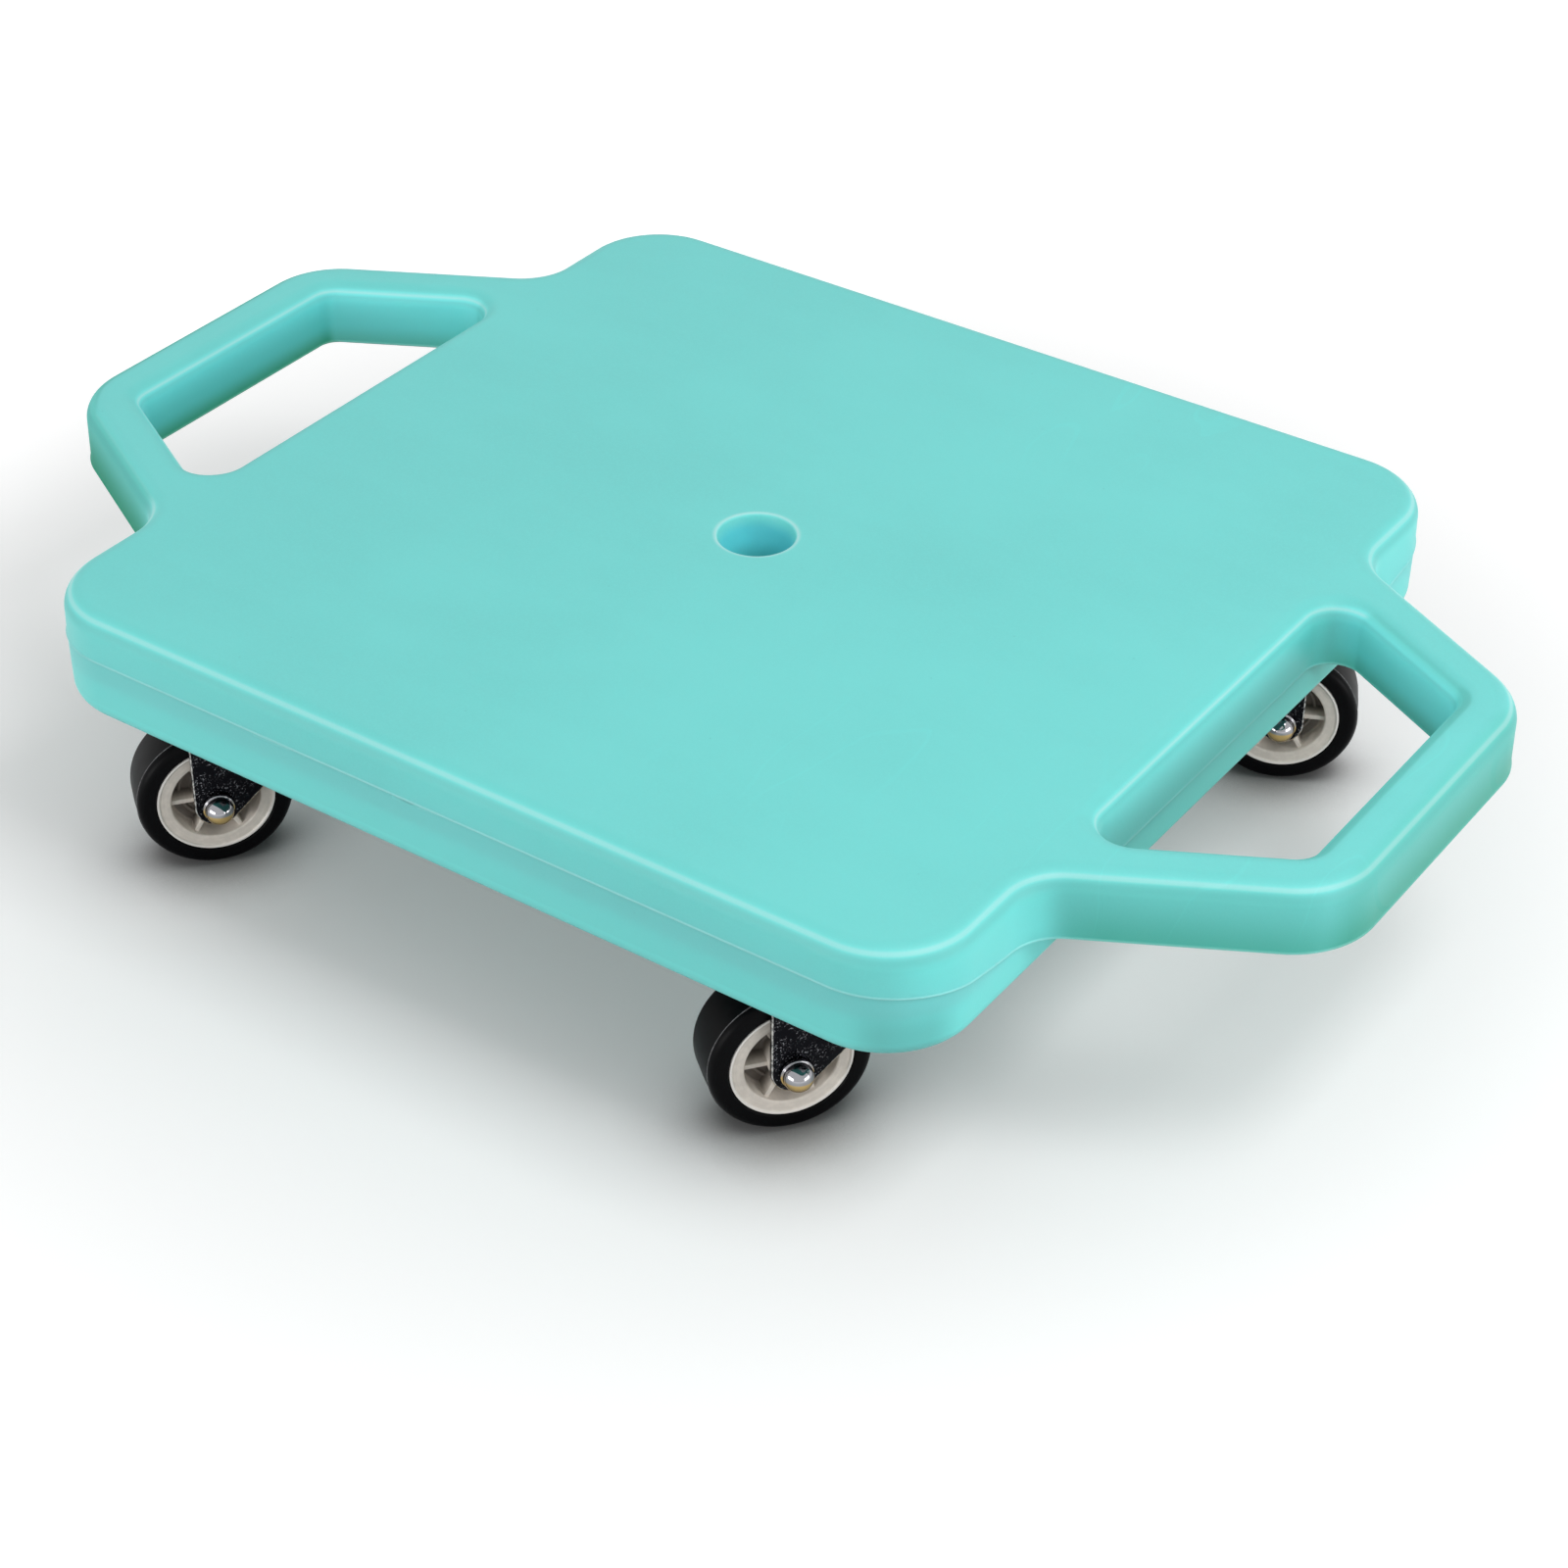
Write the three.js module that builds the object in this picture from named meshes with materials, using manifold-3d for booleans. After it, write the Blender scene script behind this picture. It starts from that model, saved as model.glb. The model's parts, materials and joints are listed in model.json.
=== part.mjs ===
// Scooter board: a moulded plastic deck with two hand loops, carried on four swivel casters.
// Millimetres, +Z up. The origin is on the floor under the middle of the deck, X runs from hand
// loop to hand loop, and the front edge of the deck faces -Y.

import * as THREE from 'three';
import { mergeVertices } from 'three/addons/utils/BufferGeometryUtils.js';
import Module from 'manifold-3d';

const wasm = await Module();
wasm.setup();

// Deck, outside
const bodyLength = 312;
const bodyWidth = 302;
const bodyCornerRadius = 28;
const deckThickness = 35;
const handleReach = 72;
const handleRootWidth = 191;
const handleEndWidth = 112;
const handleRootRadius = 16;
const handleCornerRadius = 28;
const handleThickness = 21;
const gripWidth = 19;
const topEdgeRadius = 6;
const bottomEdgeRadius = 5;
const wallDraftShare = 0.026;

// Deck, hand openings
const openingInnerRadius = 9;
const openingOuterRadius = 7;
const openingEdgeRadius = 6;

// Deck, parting line of the mould, which runs higher on the two long sides than under the loops
const sidePartingDepth = 14.6;
const partingStep = 0.5;
const partingEdgeRadius = 0.8;

// Deck, rope hole through the middle and the tack-off cones under the seat
const ropeHoleMouth = 24;
const ropeHoleNeck = 14;
const ropeHoleRimRadius = 3;
const coneMouth = 22;
const coneFloor = 10;
const coneDepth = 20;
const conePitch = 60;

// Casters, places: how far each kingpin is from the deck's two nearest walls, and how they are turned
const casterInset = 50;
const frontCasterTurn = THREE.MathUtils.degToRad(-38);
const backCasterTurn = THREE.MathUtils.degToRad(116);
const casterTrail = 22;
const deckOverTyre = 13;

// Mounting plate and its screws
const plateSize = 50;
const plateCornerRadius = 6;
const plateThickness = 2;
const screwPitch = 36;
const screwDiameter = 4;
const screwLength = 14;
const screwHeadDiameter = 8;
const screwHeadHeight = 2.2;

// Swivel bearing
const ballDiameter = 3.8;
const ballCount = 8;
const ballCircle = 26;
const raceWidth = 5;
const raceDrop = 1.7;
const cageThickness = 0.8;
const kingpinDiameter = 7.8;
const kingpinCollarDiameter = 12;
const kingpinHeadDiameter = 11;
const kingpinHeadHeight = 2;
const capDiameter = 20;
const capThickness = 1.2;

// Fork
const forkThickness = 2;
const forkBendRadius = 3.5;
const forkEyeRadius = 7;
const forkLead = 11;
const forkShoulderHeight = 5.5;
const crownDiameter = 35;
const crownRimHeight = 1;
const crownRimWidth = 1.8;

// Wheel and axle
const tyreDiameter = 48;
const tyreWidth = 19;
const tyreShoulderRadius = 3;
const tyreWall = 6.1;
const hubRimWidth = 18;
const hubRimWall = 4.4;
const hubWebThickness = 3;
const hubBossDiameter = 13;
const hubBossLength = 20.6;
const hubRibCount = 6;
const hubRibThickness = 1.5;
const hubRibWidth = 15;
const sleeveDiameter = 9;
const axleDiameter = 6;
const boltHeadDiameter = 11;
const boltHeadHeight = 4;
const nutFlangeDiameter = 9.6;
const nutFlangeHeight = 1.2;
const nutDomeDiameter = 8.8;
const nutHeight = 6.4;

// Clearances
const seatGap = 0.3;
const holeGap = 0.3;
const sideGap = 0.5;
const overrun = 1;

// Facets round an edge, an arc and a turned piece
const filletSteps = 3;
const wideArcSteps = 7;
const arcSteps = 5;
const tightArcSteps = 3;
const shoulderSteps = 2;
const wheelSides = 24;
const turnedSides = 14;
const pinSides = 10;
const screwSides = 6;
const hexSides = 6;
const leastRadiusShare = 0.1;

// Sizes that follow from the others
const halfLength = bodyLength / 2;
const halfWidth = bodyWidth / 2;
const loopEnd = halfLength + handleReach;
const rootHalf = handleRootWidth / 2;
const endHalf = handleEndWidth / 2;
const casterX = halfLength - casterInset;
const casterY = halfWidth - casterInset;
const casterHeight = tyreDiameter + deckOverTyre;
const tyreRadius = tyreDiameter / 2;
const hubRadius = tyreRadius - tyreWall;
// The tyre stands on one of its facets, so its axle is that facet's distance above the floor.
const axleHeight = tyreRadius * Math.cos(Math.PI / wheelSides);
const axleDrop = casterHeight - axleHeight;
const plateBottom = -seatGap - plateThickness;
const raceBottom = plateBottom - raceDrop;
const ballTop = raceBottom - seatGap;
const ballCentre = ballTop - ballDiameter / 2;
const crownTop = ballTop - ballDiameter - seatGap;
const crownBottom = crownTop - forkThickness;
const capTop = crownBottom - seatGap;
const capBottom = capTop - capThickness;
const pinHeadTop = capBottom - seatGap;
const legInside = hubBossLength / 2 + sideGap;
const legOutside = legInside + forkThickness;

// Finishes
const plastic = new THREE.MeshStandardMaterial({ color: 0x79dcd4, roughness: 0.42, metalness: 0 });
const rubber = new THREE.MeshStandardMaterial({ color: 0x0b0b0c, roughness: 0.5, metalness: 0 });
const nylon = new THREE.MeshStandardMaterial({ color: 0xcfc7bd, roughness: 0.45, metalness: 0 });
const zinc = new THREE.MeshStandardMaterial({ color: 0xb9bcc0, roughness: 0.3, metalness: 1 });
const chrome = new THREE.MeshStandardMaterial({ color: 0xdfe1e4, roughness: 0.08, metalness: 1 });
const steel = new THREE.MeshStandardMaterial({ color: 0x8f9296, roughness: 0.35, metalness: 1 });

// A closed geometry as a solid: shared points merged, collapsed faces dropped, faces turned outward.
function toSolid(geometry) {
  const bare = geometry.clone();
  bare.deleteAttribute('normal');
  bare.deleteAttribute('uv');
  const merged = mergeVertices(bare);
  const points = merged.attributes.position;
  const faces = [];
  const corners = [new THREE.Vector3(), new THREE.Vector3(), new THREE.Vector3()];
  let volume = 0;
  for (let i = 0; i < merged.index.count; i += 3) {
    const face = [0, 1, 2].map((k) => merged.index.getX(i + k));
    if (face[0] === face[1] || face[1] === face[2] || face[2] === face[0]) continue;
    face.forEach((index, k) => corners[k].fromBufferAttribute(points, index));
    volume += corners[0].dot(corners[1].cross(corners[2]));
    faces.push(face);
  }
  const triVerts = Uint32Array.from(faces.flatMap(([a, b, c]) => (volume < 0 ? [a, c, b] : [a, b, c])));
  const vertProperties = Float32Array.from(points.array);
  return new wasm.Manifold(new wasm.Mesh({ numProp: 3, vertProperties, triVerts }));
}

function toMesh(name, solid, material) {
  const { vertProperties, triVerts } = solid.getMesh();
  const geometry = new THREE.BufferGeometry();
  geometry.setAttribute('position', new THREE.BufferAttribute(vertProperties, 3));
  geometry.setIndex(new THREE.BufferAttribute(triVerts, 1));
  geometry.computeVertexNormals();
  const mesh = new THREE.Mesh(geometry, material);
  mesh.name = name;
  return mesh;
}

const cutAll = (solid, cutters) => cutters.reduce((left, cutter) => left.subtract(cutter), solid);
const joinAll = (solids) => solids.reduce((whole, solid) => whole.add(solid));

// Turned pieces. A profile point is [radius, place along the axis].
function turned(profile, sides) {
  const points = profile.map(([radius, along]) => new THREE.Vector2(radius, along));
  return new THREE.LatheGeometry(points, sides);
}

// A turned piece that stands upright, with its axis on Z at (x, y).
function upright(profile, sides, x = 0, y = 0) {
  return toSolid(turned(profile, sides).rotateX(Math.PI / 2).translate(x, y, 0));
}

// A turned piece on the axle, with its axis along X, turned by half a facet so that a flat is lowest.
// A nut side of -1 puts its end at -X.
function onAxle(profile, sides, nutSide = 1) {
  const geometry = turned(profile, sides).rotateY(Math.PI / sides).rotateZ((-nutSide * Math.PI) / 2);
  return toSolid(geometry.translate(0, -casterTrail, -axleDrop));
}

const rod = (radius, from, to) => [[0, from], [radius, from], [radius, to], [0, to]];
const tube = (inner, outer, from, to) => [
  [inner, from], [outer, from], [outer, to], [inner, to], [inner, from],
];

// Rounded polygon: each corner is { x, y, radius, steps }, anticlockwise. A positive inset moves every
// side inward, so that round outer corners tighten and round inner corners open up.
function roundedOutline(corners, inset) {
  const count = corners.length;
  const directions = corners.map((corner, i) => {
    const next = corners[(i + 1) % count];
    return new THREE.Vector2(next.x - corner.x, next.y - corner.y).normalize();
  });
  return corners.flatMap((corner, i) => {
    const before = directions[(i + count - 1) % count];
    const after = directions[i];
    const turn = Math.atan2(before.cross(after), before.dot(after));
    const side = Math.sign(turn);
    const slide = Math.tan(turn / 2) * inset;
    const tip = new THREE.Vector2(corner.x - before.y * inset, corner.y + before.x * inset);
    tip.addScaledVector(before, -slide);
    const radius = Math.max(corner.radius - side * inset, corner.radius * leastRadiusShare);
    const reach = radius * Math.tan(Math.abs(turn) / 2);
    const start = tip.clone().addScaledVector(before, -reach);
    const towardsCentre = new THREE.Vector2(-before.y, before.x).multiplyScalar(side);
    const centre = start.clone().addScaledVector(towardsCentre, radius);
    const arc = [];
    for (let k = 0; k <= corner.steps; k += 1) {
      const angle = (turn * k) / corner.steps;
      arc.push(start.clone().rotateAround(centre, angle));
    }
    return arc;
  });
}

// Solid through a stack of rings, each { inset, z }, where z is a height or a function of x and y.
function stackedSolid(corners, rings) {
  const outlines = rings.map(({ inset, z }) => roundedOutline(corners, inset).map((point) => {
    const height = typeof z === 'function' ? z(point.x, point.y) : z;
    return new THREE.Vector3(point.x, point.y, height);
  }));
  const count = outlines[0].length;
  const positions = outlines.flat().flatMap((point) => point.toArray());
  const indices = [];
  for (let ring = 0; ring + 1 < outlines.length; ring += 1) {
    for (let i = 0; i < count; i += 1) {
      const a = ring * count + i;
      const b = ring * count + ((i + 1) % count);
      indices.push(a, b, b + count, a, b + count, a + count);
    }
  }
  const last = (outlines.length - 1) * count;
  const flat = (outline) => outline.map((point) => new THREE.Vector2(point.x, point.y));
  THREE.ShapeUtils.triangulateShape(flat(outlines[0]), []).forEach(([a, b, c]) => indices.push(a, c, b));
  THREE.ShapeUtils.triangulateShape(flat(outlines.at(-1)), []).forEach(([a, b, c]) => {
    indices.push(last + a, last + b, last + c);
  });
  const geometry = new THREE.BufferGeometry();
  geometry.setAttribute('position', new THREE.Float32BufferAttribute(positions, 3));
  geometry.setIndex(indices);
  return toSolid(geometry);
}

// Quarter-round rings that close an edge: the inset grows while the height moves towards `to`.
function edgeRings(radius, inset, from, to) {
  const way = Math.sign(to - from);
  const rings = [];
  for (let k = 0; k <= filletSteps; k += 1) {
    const angle = (Math.PI / 2) * (k / filletSteps);
    rings.push({
      inset: inset + radius * (1 - Math.cos(angle)),
      z: to - way * radius * (1 - Math.sin(angle)),
    });
  }
  return rings;
}

// Half of the deck's outline, from the front right body corner round the hand loop to the back one.
function loopSide() {
  return [
    { x: halfLength, y: -halfWidth, radius: bodyCornerRadius, steps: wideArcSteps },
    { x: halfLength, y: -rootHalf, radius: handleRootRadius, steps: tightArcSteps },
    { x: loopEnd, y: -endHalf, radius: handleCornerRadius, steps: arcSteps },
    { x: loopEnd, y: endHalf, radius: handleCornerRadius, steps: arcSteps },
    { x: halfLength, y: rootHalf, radius: handleRootRadius, steps: tightArcSteps },
    { x: halfLength, y: halfWidth, radius: bodyCornerRadius, steps: wideArcSteps },
  ];
}

const halfTurn = (corners) => corners.map((corner) => ({ ...corner, x: -corner.x, y: -corner.y }));

function bodyCorners() {
  const right = [
    { x: halfLength, y: -halfWidth, radius: bodyCornerRadius, steps: wideArcSteps },
    { x: halfLength, y: halfWidth, radius: bodyCornerRadius, steps: wideArcSteps },
  ];
  return [...right, ...halfTurn(right)];
}

// The opening keeps a bar of the grip's width all round and meets the end wall of the body.
function openingCorners() {
  const slope = (rootHalf - endHalf) / handleReach;
  const barAcross = gripWidth * Math.hypot(1, slope);
  const outerX = loopEnd - gripWidth;
  const halfAt = (x) => rootHalf - slope * (x - halfLength) - barAcross;
  return [
    { x: halfLength, y: -halfAt(halfLength), radius: openingInnerRadius, steps: arcSteps },
    { x: outerX, y: -halfAt(outerX), radius: openingOuterRadius, steps: tightArcSteps },
    { x: outerX, y: halfAt(outerX), radius: openingOuterRadius, steps: tightArcSteps },
    { x: halfLength, y: halfAt(halfLength), radius: openingInnerRadius, steps: arcSteps },
  ];
}

// Height of the parting line over the deck's underside: low under the loops, higher on the long sides.
const loopBottom = deckThickness - handleThickness;
function partingHeight(x, y) {
  const share = THREE.MathUtils.smoothstep(Math.abs(y), rootHalf, halfWidth);
  return loopBottom + (handleThickness - sidePartingDepth) * share;
}

// Upper half of the moulding: the whole outline, from the parting line to the rounded top edge.
function upperHalf() {
  const wallInset = wallDraftShare * (handleThickness - topEdgeRadius);
  return stackedSolid([...loopSide(), ...halfTurn(loopSide())], [
    { inset: partingEdgeRadius, z: loopBottom },
    { inset: partingEdgeRadius, z: partingHeight },
    { inset: 0, z: (x, y) => partingHeight(x, y) + partingEdgeRadius },
    ...edgeRings(topEdgeRadius, wallInset, loopBottom, deckThickness),
  ]);
}

// Cutter for a hand opening: it widens at both rims, as the rounded edges do.
function openingCutter(corners) {
  const wall = -wallDraftShare * (handleThickness - openingEdgeRadius);
  const rim = edgeRings(openingEdgeRadius, 0, loopBottom, deckThickness);
  return stackedSolid(corners, [
    { inset: -partingEdgeRadius, z: loopBottom - overrun },
    { inset: -partingEdgeRadius, z: loopBottom },
    { inset: 0, z: loopBottom + partingEdgeRadius },
    ...rim.map(({ inset, z }) => ({ inset: wall - inset, z })),
    { inset: wall - openingEdgeRadius, z: deckThickness + overrun },
  ]);
}

// Lower half of the moulding: only the body, set in a little under the parting line.
function lowerHalf() {
  const top = (loopBottom + deckThickness) / 2;
  const bottomInset = partingStep + wallDraftShare * (loopBottom - bottomEdgeRadius);
  return stackedSolid(bodyCorners(), [
    ...edgeRings(bottomEdgeRadius, bottomInset, top, 0).reverse(),
    { inset: partingStep, z: loopBottom },
    { inset: partingStep, z: top },
  ]);
}

// The rope hole narrows from both rims to a neck at half depth.
function ropeHoleCutter() {
  const mouth = ropeHoleMouth / 2;
  const neck = ropeHoleNeck / 2;
  const rim = ropeHoleRimRadius;
  const profile = [[0, -overrun], [mouth, -overrun]];
  for (let k = 0; k <= filletSteps; k += 1) {
    const angle = (Math.PI / 2) * (k / filletSteps);
    profile.push([mouth - rim * Math.sin(angle), rim * (1 - Math.cos(angle))]);
  }
  profile.push([neck, deckThickness / 2]);
  const upperPart = profile.slice(0, -1).reverse().map(([radius, z]) => [radius, deckThickness - z]);
  return upright([...profile, ...upperPart], turnedSides);
}

// Tack-off cones in a square grid round the rope hole, open towards the floor.
function coneCutters() {
  const cutters = [];
  const mouthAtOverrun = coneMouth / 2 + ((coneMouth - coneFloor) / 2) * (overrun / coneDepth);
  const profile = [[0, -overrun], [mouthAtOverrun, -overrun], [coneFloor / 2, coneDepth], [0, coneDepth]];
  for (const column of [-1, 0, 1]) {
    for (const row of [-1, 0, 1]) {
      if (column === 0 && row === 0) continue;
      cutters.push(upright(profile, pinSides, column * conePitch, row * conePitch));
    }
  }
  return cutters;
}

// The four casters: name, and the side of the deck that each is on.
const casters = [
  { name: 'front_right', sideX: 1, sideY: -1 },
  { name: 'front_left', sideX: -1, sideY: -1 },
  { name: 'back_right', sideX: 1, sideY: 1 },
  { name: 'back_left', sideX: -1, sideY: 1 },
];
const pivotOf = ({ sideX, sideY }) => ({ x: sideX * casterX, y: sideY * casterY });

// Screw places round a pivot.
const screwCorners = [[1, -1], [-1, -1], [-1, 1], [1, 1]];
const screwPlaces = screwCorners.map(([x, y]) => [(x * screwPitch) / 2, (y * screwPitch) / 2]);

function pilotHoleCutters() {
  const hole = rod(screwDiameter / 2 + holeGap, -overrun, screwLength + plateBottom);
  return casters.flatMap((caster) => {
    const pivot = pivotOf(caster);
    return screwPlaces.map(([x, y]) => upright(hole, screwSides, pivot.x + x, pivot.y + y));
  });
}

function makeDeck() {
  const openings = [openingCorners(), halfTurn(openingCorners())];
  const loops = cutAll(upperHalf(), openings.map(openingCutter));
  const moulding = loops.add(lowerHalf());
  const solid = cutAll(moulding, [ropeHoleCutter(), ...coneCutters(), ...pilotHoleCutters()]);
  const deck = toMesh('deck', solid, plastic);
  deck.position.z = casterHeight;
  return deck;
}

// Mounting plate: a rounded square with a pressed ball race, four screw holes and the kingpin's hole.
function mountPlate() {
  const half = plateSize / 2;
  const right = [
    { x: half, y: -half, radius: plateCornerRadius, steps: tightArcSteps },
    { x: half, y: half, radius: plateCornerRadius, steps: tightArcSteps },
  ];
  const plate = stackedSolid([...right, ...halfTurn(right)], [
    { inset: 0, z: plateBottom },
    { inset: 0, z: -seatGap },
  ]);
  const inner = (ballCircle - raceWidth) / 2;
  const outer = (ballCircle + raceWidth) / 2;
  const middle = plateBottom + plateThickness / 2;
  const race = upright([[inner, raceBottom], [outer - raceDrop, raceBottom], [outer, plateBottom],
    [outer, middle], [inner, middle], [inner, raceBottom]], turnedSides);
  const hole = (radius, x, y, sides) => upright(rod(radius, plateBottom - overrun, overrun), sides, x, y);
  return cutAll(plate.add(race), [
    hole(kingpinDiameter / 2 + holeGap, 0, 0, pinSides),
    ...screwPlaces.map(([x, y]) => hole(screwDiameter / 2 + holeGap, x, y, screwSides)),
  ]);
}

// Pan-head screw with a conical point.
function plateScrew(x, y) {
  const shank = screwDiameter / 2;
  const head = screwHeadDiameter / 2;
  const headTop = plateBottom - seatGap;
  const headBottom = headTop - screwHeadHeight;
  const tip = headTop + screwLength;
  return upright([[0, headBottom], [head / 2, headBottom], [head, headTop], [shank, headTop],
    [shank, tip - screwDiameter], [0, tip]], screwSides, x, y);
}

// Ball ring: the cage washer with its balls standing through it.
function ballRing() {
  const cage = upright(tube((ballCircle - raceWidth) / 2, (ballCircle + ballDiameter / 2) / 2,
    ballCentre - cageThickness / 2, ballCentre + cageThickness / 2), turnedSides);
  const balls = Array.from({ length: ballCount }, (_, i) => {
    const ball = new THREE.IcosahedronGeometry(ballDiameter / 2).translate(ballCircle / 2, 0, ballCentre);
    return toSolid(ball.rotateZ((2 * Math.PI * i) / ballCount));
  });
  return joinAll([cage, ...balls]);
}

// Kingpin: a shouldered rivet, flush with the plate, with its head under the swivel cap.
function kingpin() {
  const shank = kingpinDiameter / 2;
  const collar = kingpinCollarDiameter / 2;
  const head = kingpinHeadDiameter / 2;
  const headBottom = pinHeadTop - kingpinHeadHeight;
  const collarBottom = crownTop + seatGap;
  const collarTop = plateBottom - seatGap;
  return upright([[0, headBottom], [head / 2, headBottom], [head, (pinHeadTop + headBottom) / 2],
    [head, pinHeadTop], [shank, pinHeadTop], [shank, collarBottom], [collar, collarBottom],
    [collar, collarTop], [shank, collarTop], [shank, -seatGap], [0, -seatGap]], pinSides);
}

// Swivel cap: the dished washer under the crown that the kingpin's head holds up.
function swivelCap() {
  const hole = kingpinDiameter / 2 + holeGap;
  const rim = capDiameter / 2;
  return upright([[hole, capBottom], [rim - capThickness, capBottom], [rim, capTop], [hole, capTop],
    [hole, capBottom]], pinSides);
}

// Section of the fork across the wheel: crown and two legs bent from one strip.
function forkSection() {
  const foot = -axleDrop - forkEyeRadius - overrun;
  const bendX = legOutside - forkBendRadius;
  const bendZ = crownTop - forkBendRadius;
  const insideRadius = forkBendRadius - forkThickness;
  const shape = new THREE.Shape();
  shape.moveTo(legOutside, foot);
  shape.lineTo(legOutside, bendZ);
  shape.absarc(bendX, bendZ, forkBendRadius, 0, Math.PI / 2, false);
  shape.lineTo(-bendX, crownTop);
  shape.absarc(-bendX, bendZ, forkBendRadius, Math.PI / 2, Math.PI, false);
  shape.lineTo(-legOutside, foot);
  shape.lineTo(-legInside, foot);
  shape.lineTo(-legInside, bendZ);
  shape.absarc(-bendX, bendZ, insideRadius, Math.PI, Math.PI / 2, true);
  shape.lineTo(bendX, crownBottom);
  shape.absarc(bendX, bendZ, insideRadius, Math.PI / 2, 0, true);
  shape.lineTo(legInside, foot);
  return shape;
}

// Side view of a leg: upright at the back, slanted from the crown's front down to the round eye.
function legOutline() {
  const shoulderZ = crownTop - forkShoulderHeight;
  const toShoulder = new THREE.Vector2(forkLead + casterTrail, shoulderZ + axleDrop);
  const tangent = toShoulder.angle() - Math.acos(forkEyeRadius / toShoulder.length());
  const shape = new THREE.Shape();
  shape.moveTo(forkLead, crownTop + overrun);
  shape.lineTo(-casterTrail - forkEyeRadius, crownTop + overrun);
  shape.lineTo(-casterTrail - forkEyeRadius, -axleDrop);
  shape.absarc(-casterTrail, -axleDrop, forkEyeRadius, Math.PI, 2 * Math.PI + tangent, false);
  shape.lineTo(forkLead, shoulderZ);
  return shape;
}

function fork() {
  const length = 2 * (casterTrail + tyreRadius);
  const options = { bevelEnabled: false, curveSegments: tightArcSteps };
  const strip = new THREE.ExtrudeGeometry(forkSection(), { ...options, depth: length });
  const acrossWheel = new THREE.Matrix4().makeBasis(
    new THREE.Vector3(1, 0, 0), new THREE.Vector3(0, 0, 1), new THREE.Vector3(0, -1, 0));
  strip.applyMatrix4(acrossWheel).translate(0, length / 2, 0);
  const reach = legOutside + overrun;
  const side = new THREE.ExtrudeGeometry(legOutline(), { ...options, depth: 2 * reach });
  const alongWheel = new THREE.Matrix4().makeBasis(
    new THREE.Vector3(0, 1, 0), new THREE.Vector3(0, 0, 1), new THREE.Vector3(1, 0, 0));
  side.applyMatrix4(alongWheel).translate(-reach, 0, 0);
  const bent = toSolid(strip).intersect(toSolid(side));
  const rimOutside = crownDiameter / 2;
  const rimInside = rimOutside - crownRimWidth;
  const rimTop = crownTop + crownRimHeight;
  const crown = upright([[0, crownBottom], [rimOutside, crownBottom], [rimOutside, rimTop],
    [rimInside, rimTop], [rimInside, crownTop], [0, crownTop]], turnedSides);
  const axleHole = rod(axleDiameter / 2 + holeGap, -reach, reach);
  const pinHole = rod(kingpinDiameter / 2 + holeGap, crownBottom - overrun, crownTop + overrun);
  return cutAll(bent.add(crown), [onAxle(axleHole, pinSides), upright(pinHole, pinSides)]);
}

// Hub: rim, web, boss and ribs moulded in one piece.
function hub() {
  const rim = hubRadius;
  const inside = hubRadius - hubRimWall;
  const boss = hubBossDiameter / 2;
  const bore = sleeveDiameter / 2 + holeGap;
  const face = hubRimWidth / 2;
  const web = hubWebThickness / 2;
  const end = hubBossLength / 2;
  const quarter = [[bore, end], [boss, end], [boss, web], [inside, web], [inside, face], [rim, face]];
  const mirrored = quarter.slice().reverse().map(([radius, along]) => [radius, -along]);
  const body = onAxle([...quarter, ...mirrored, quarter[0]], wheelSides);
  const ribLength = inside - boss + overrun;
  const ribs = Array.from({ length: hubRibCount }, (_, i) => {
    const rib = new THREE.BoxGeometry(hubRibWidth, hubRibThickness, ribLength);
    rib.translate(0, 0, (inside + boss) / 2).rotateX(((i + 1 / 2) * 2 * Math.PI) / hubRibCount);
    return toSolid(rib.translate(0, -casterTrail, -axleDrop));
  });
  return joinAll([body, ...ribs]);
}

// Tyre: flat sides and round shoulders.
function tyre() {
  const bore = hubRadius + seatGap;
  const half = tyreWidth / 2;
  const shoulder = tyreShoulderRadius;
  const quarter = [[bore, half]];
  for (let k = 0; k <= shoulderSteps; k += 1) {
    const angle = (Math.PI / 2) * (k / shoulderSteps);
    const radius = tyreRadius - shoulder * (1 - Math.sin(angle));
    quarter.push([radius, half - shoulder * (1 - Math.cos(angle))]);
  }
  const mirrored = quarter.slice().reverse().map(([radius, along]) => [radius, -along]);
  return onAxle([...quarter, ...mirrored, quarter[0]], wheelSides);
}

function axleSleeve() {
  const half = legInside - seatGap;
  return onAxle(tube(axleDiameter / 2 + holeGap, sleeveDiameter / 2, -half, half), pinSides);
}

// Axle bolt: a hexagonal head at one leg, the shank through both legs and into the dome nut.
function axleBolt(nutSide) {
  const seat = legOutside + seatGap;
  const shankEnd = seat + nutHeight - nutDomeDiameter / 2;
  const shank = onAxle(rod(axleDiameter / 2, -seat - boltHeadHeight / 2, shankEnd), pinSides, nutSide);
  const head = onAxle(rod(boltHeadDiameter / 2, -seat - boltHeadHeight, -seat), hexSides, nutSide);
  return shank.add(head);
}

// Dome nut: a round flange and a high polished cap over a blind thread.
function domeNut(nutSide) {
  const seat = legOutside + seatGap;
  const bore = axleDiameter / 2 + holeGap;
  const cap = nutDomeDiameter / 2;
  const boreEnd = seat + nutHeight - cap + seatGap;
  const profile = [[0, boreEnd], [bore, boreEnd], [bore, seat], [nutFlangeDiameter / 2, seat],
    [nutFlangeDiameter / 2, seat + nutFlangeHeight], [cap, seat + nutFlangeHeight]];
  for (let k = 0; k <= arcSteps; k += 1) {
    const angle = (Math.PI / 2) * (k / arcSteps);
    profile.push([cap * Math.cos(angle), seat + nutHeight - cap + cap * Math.sin(angle)]);
  }
  return onAxle(profile, pinSides, nutSide);
}

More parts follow.
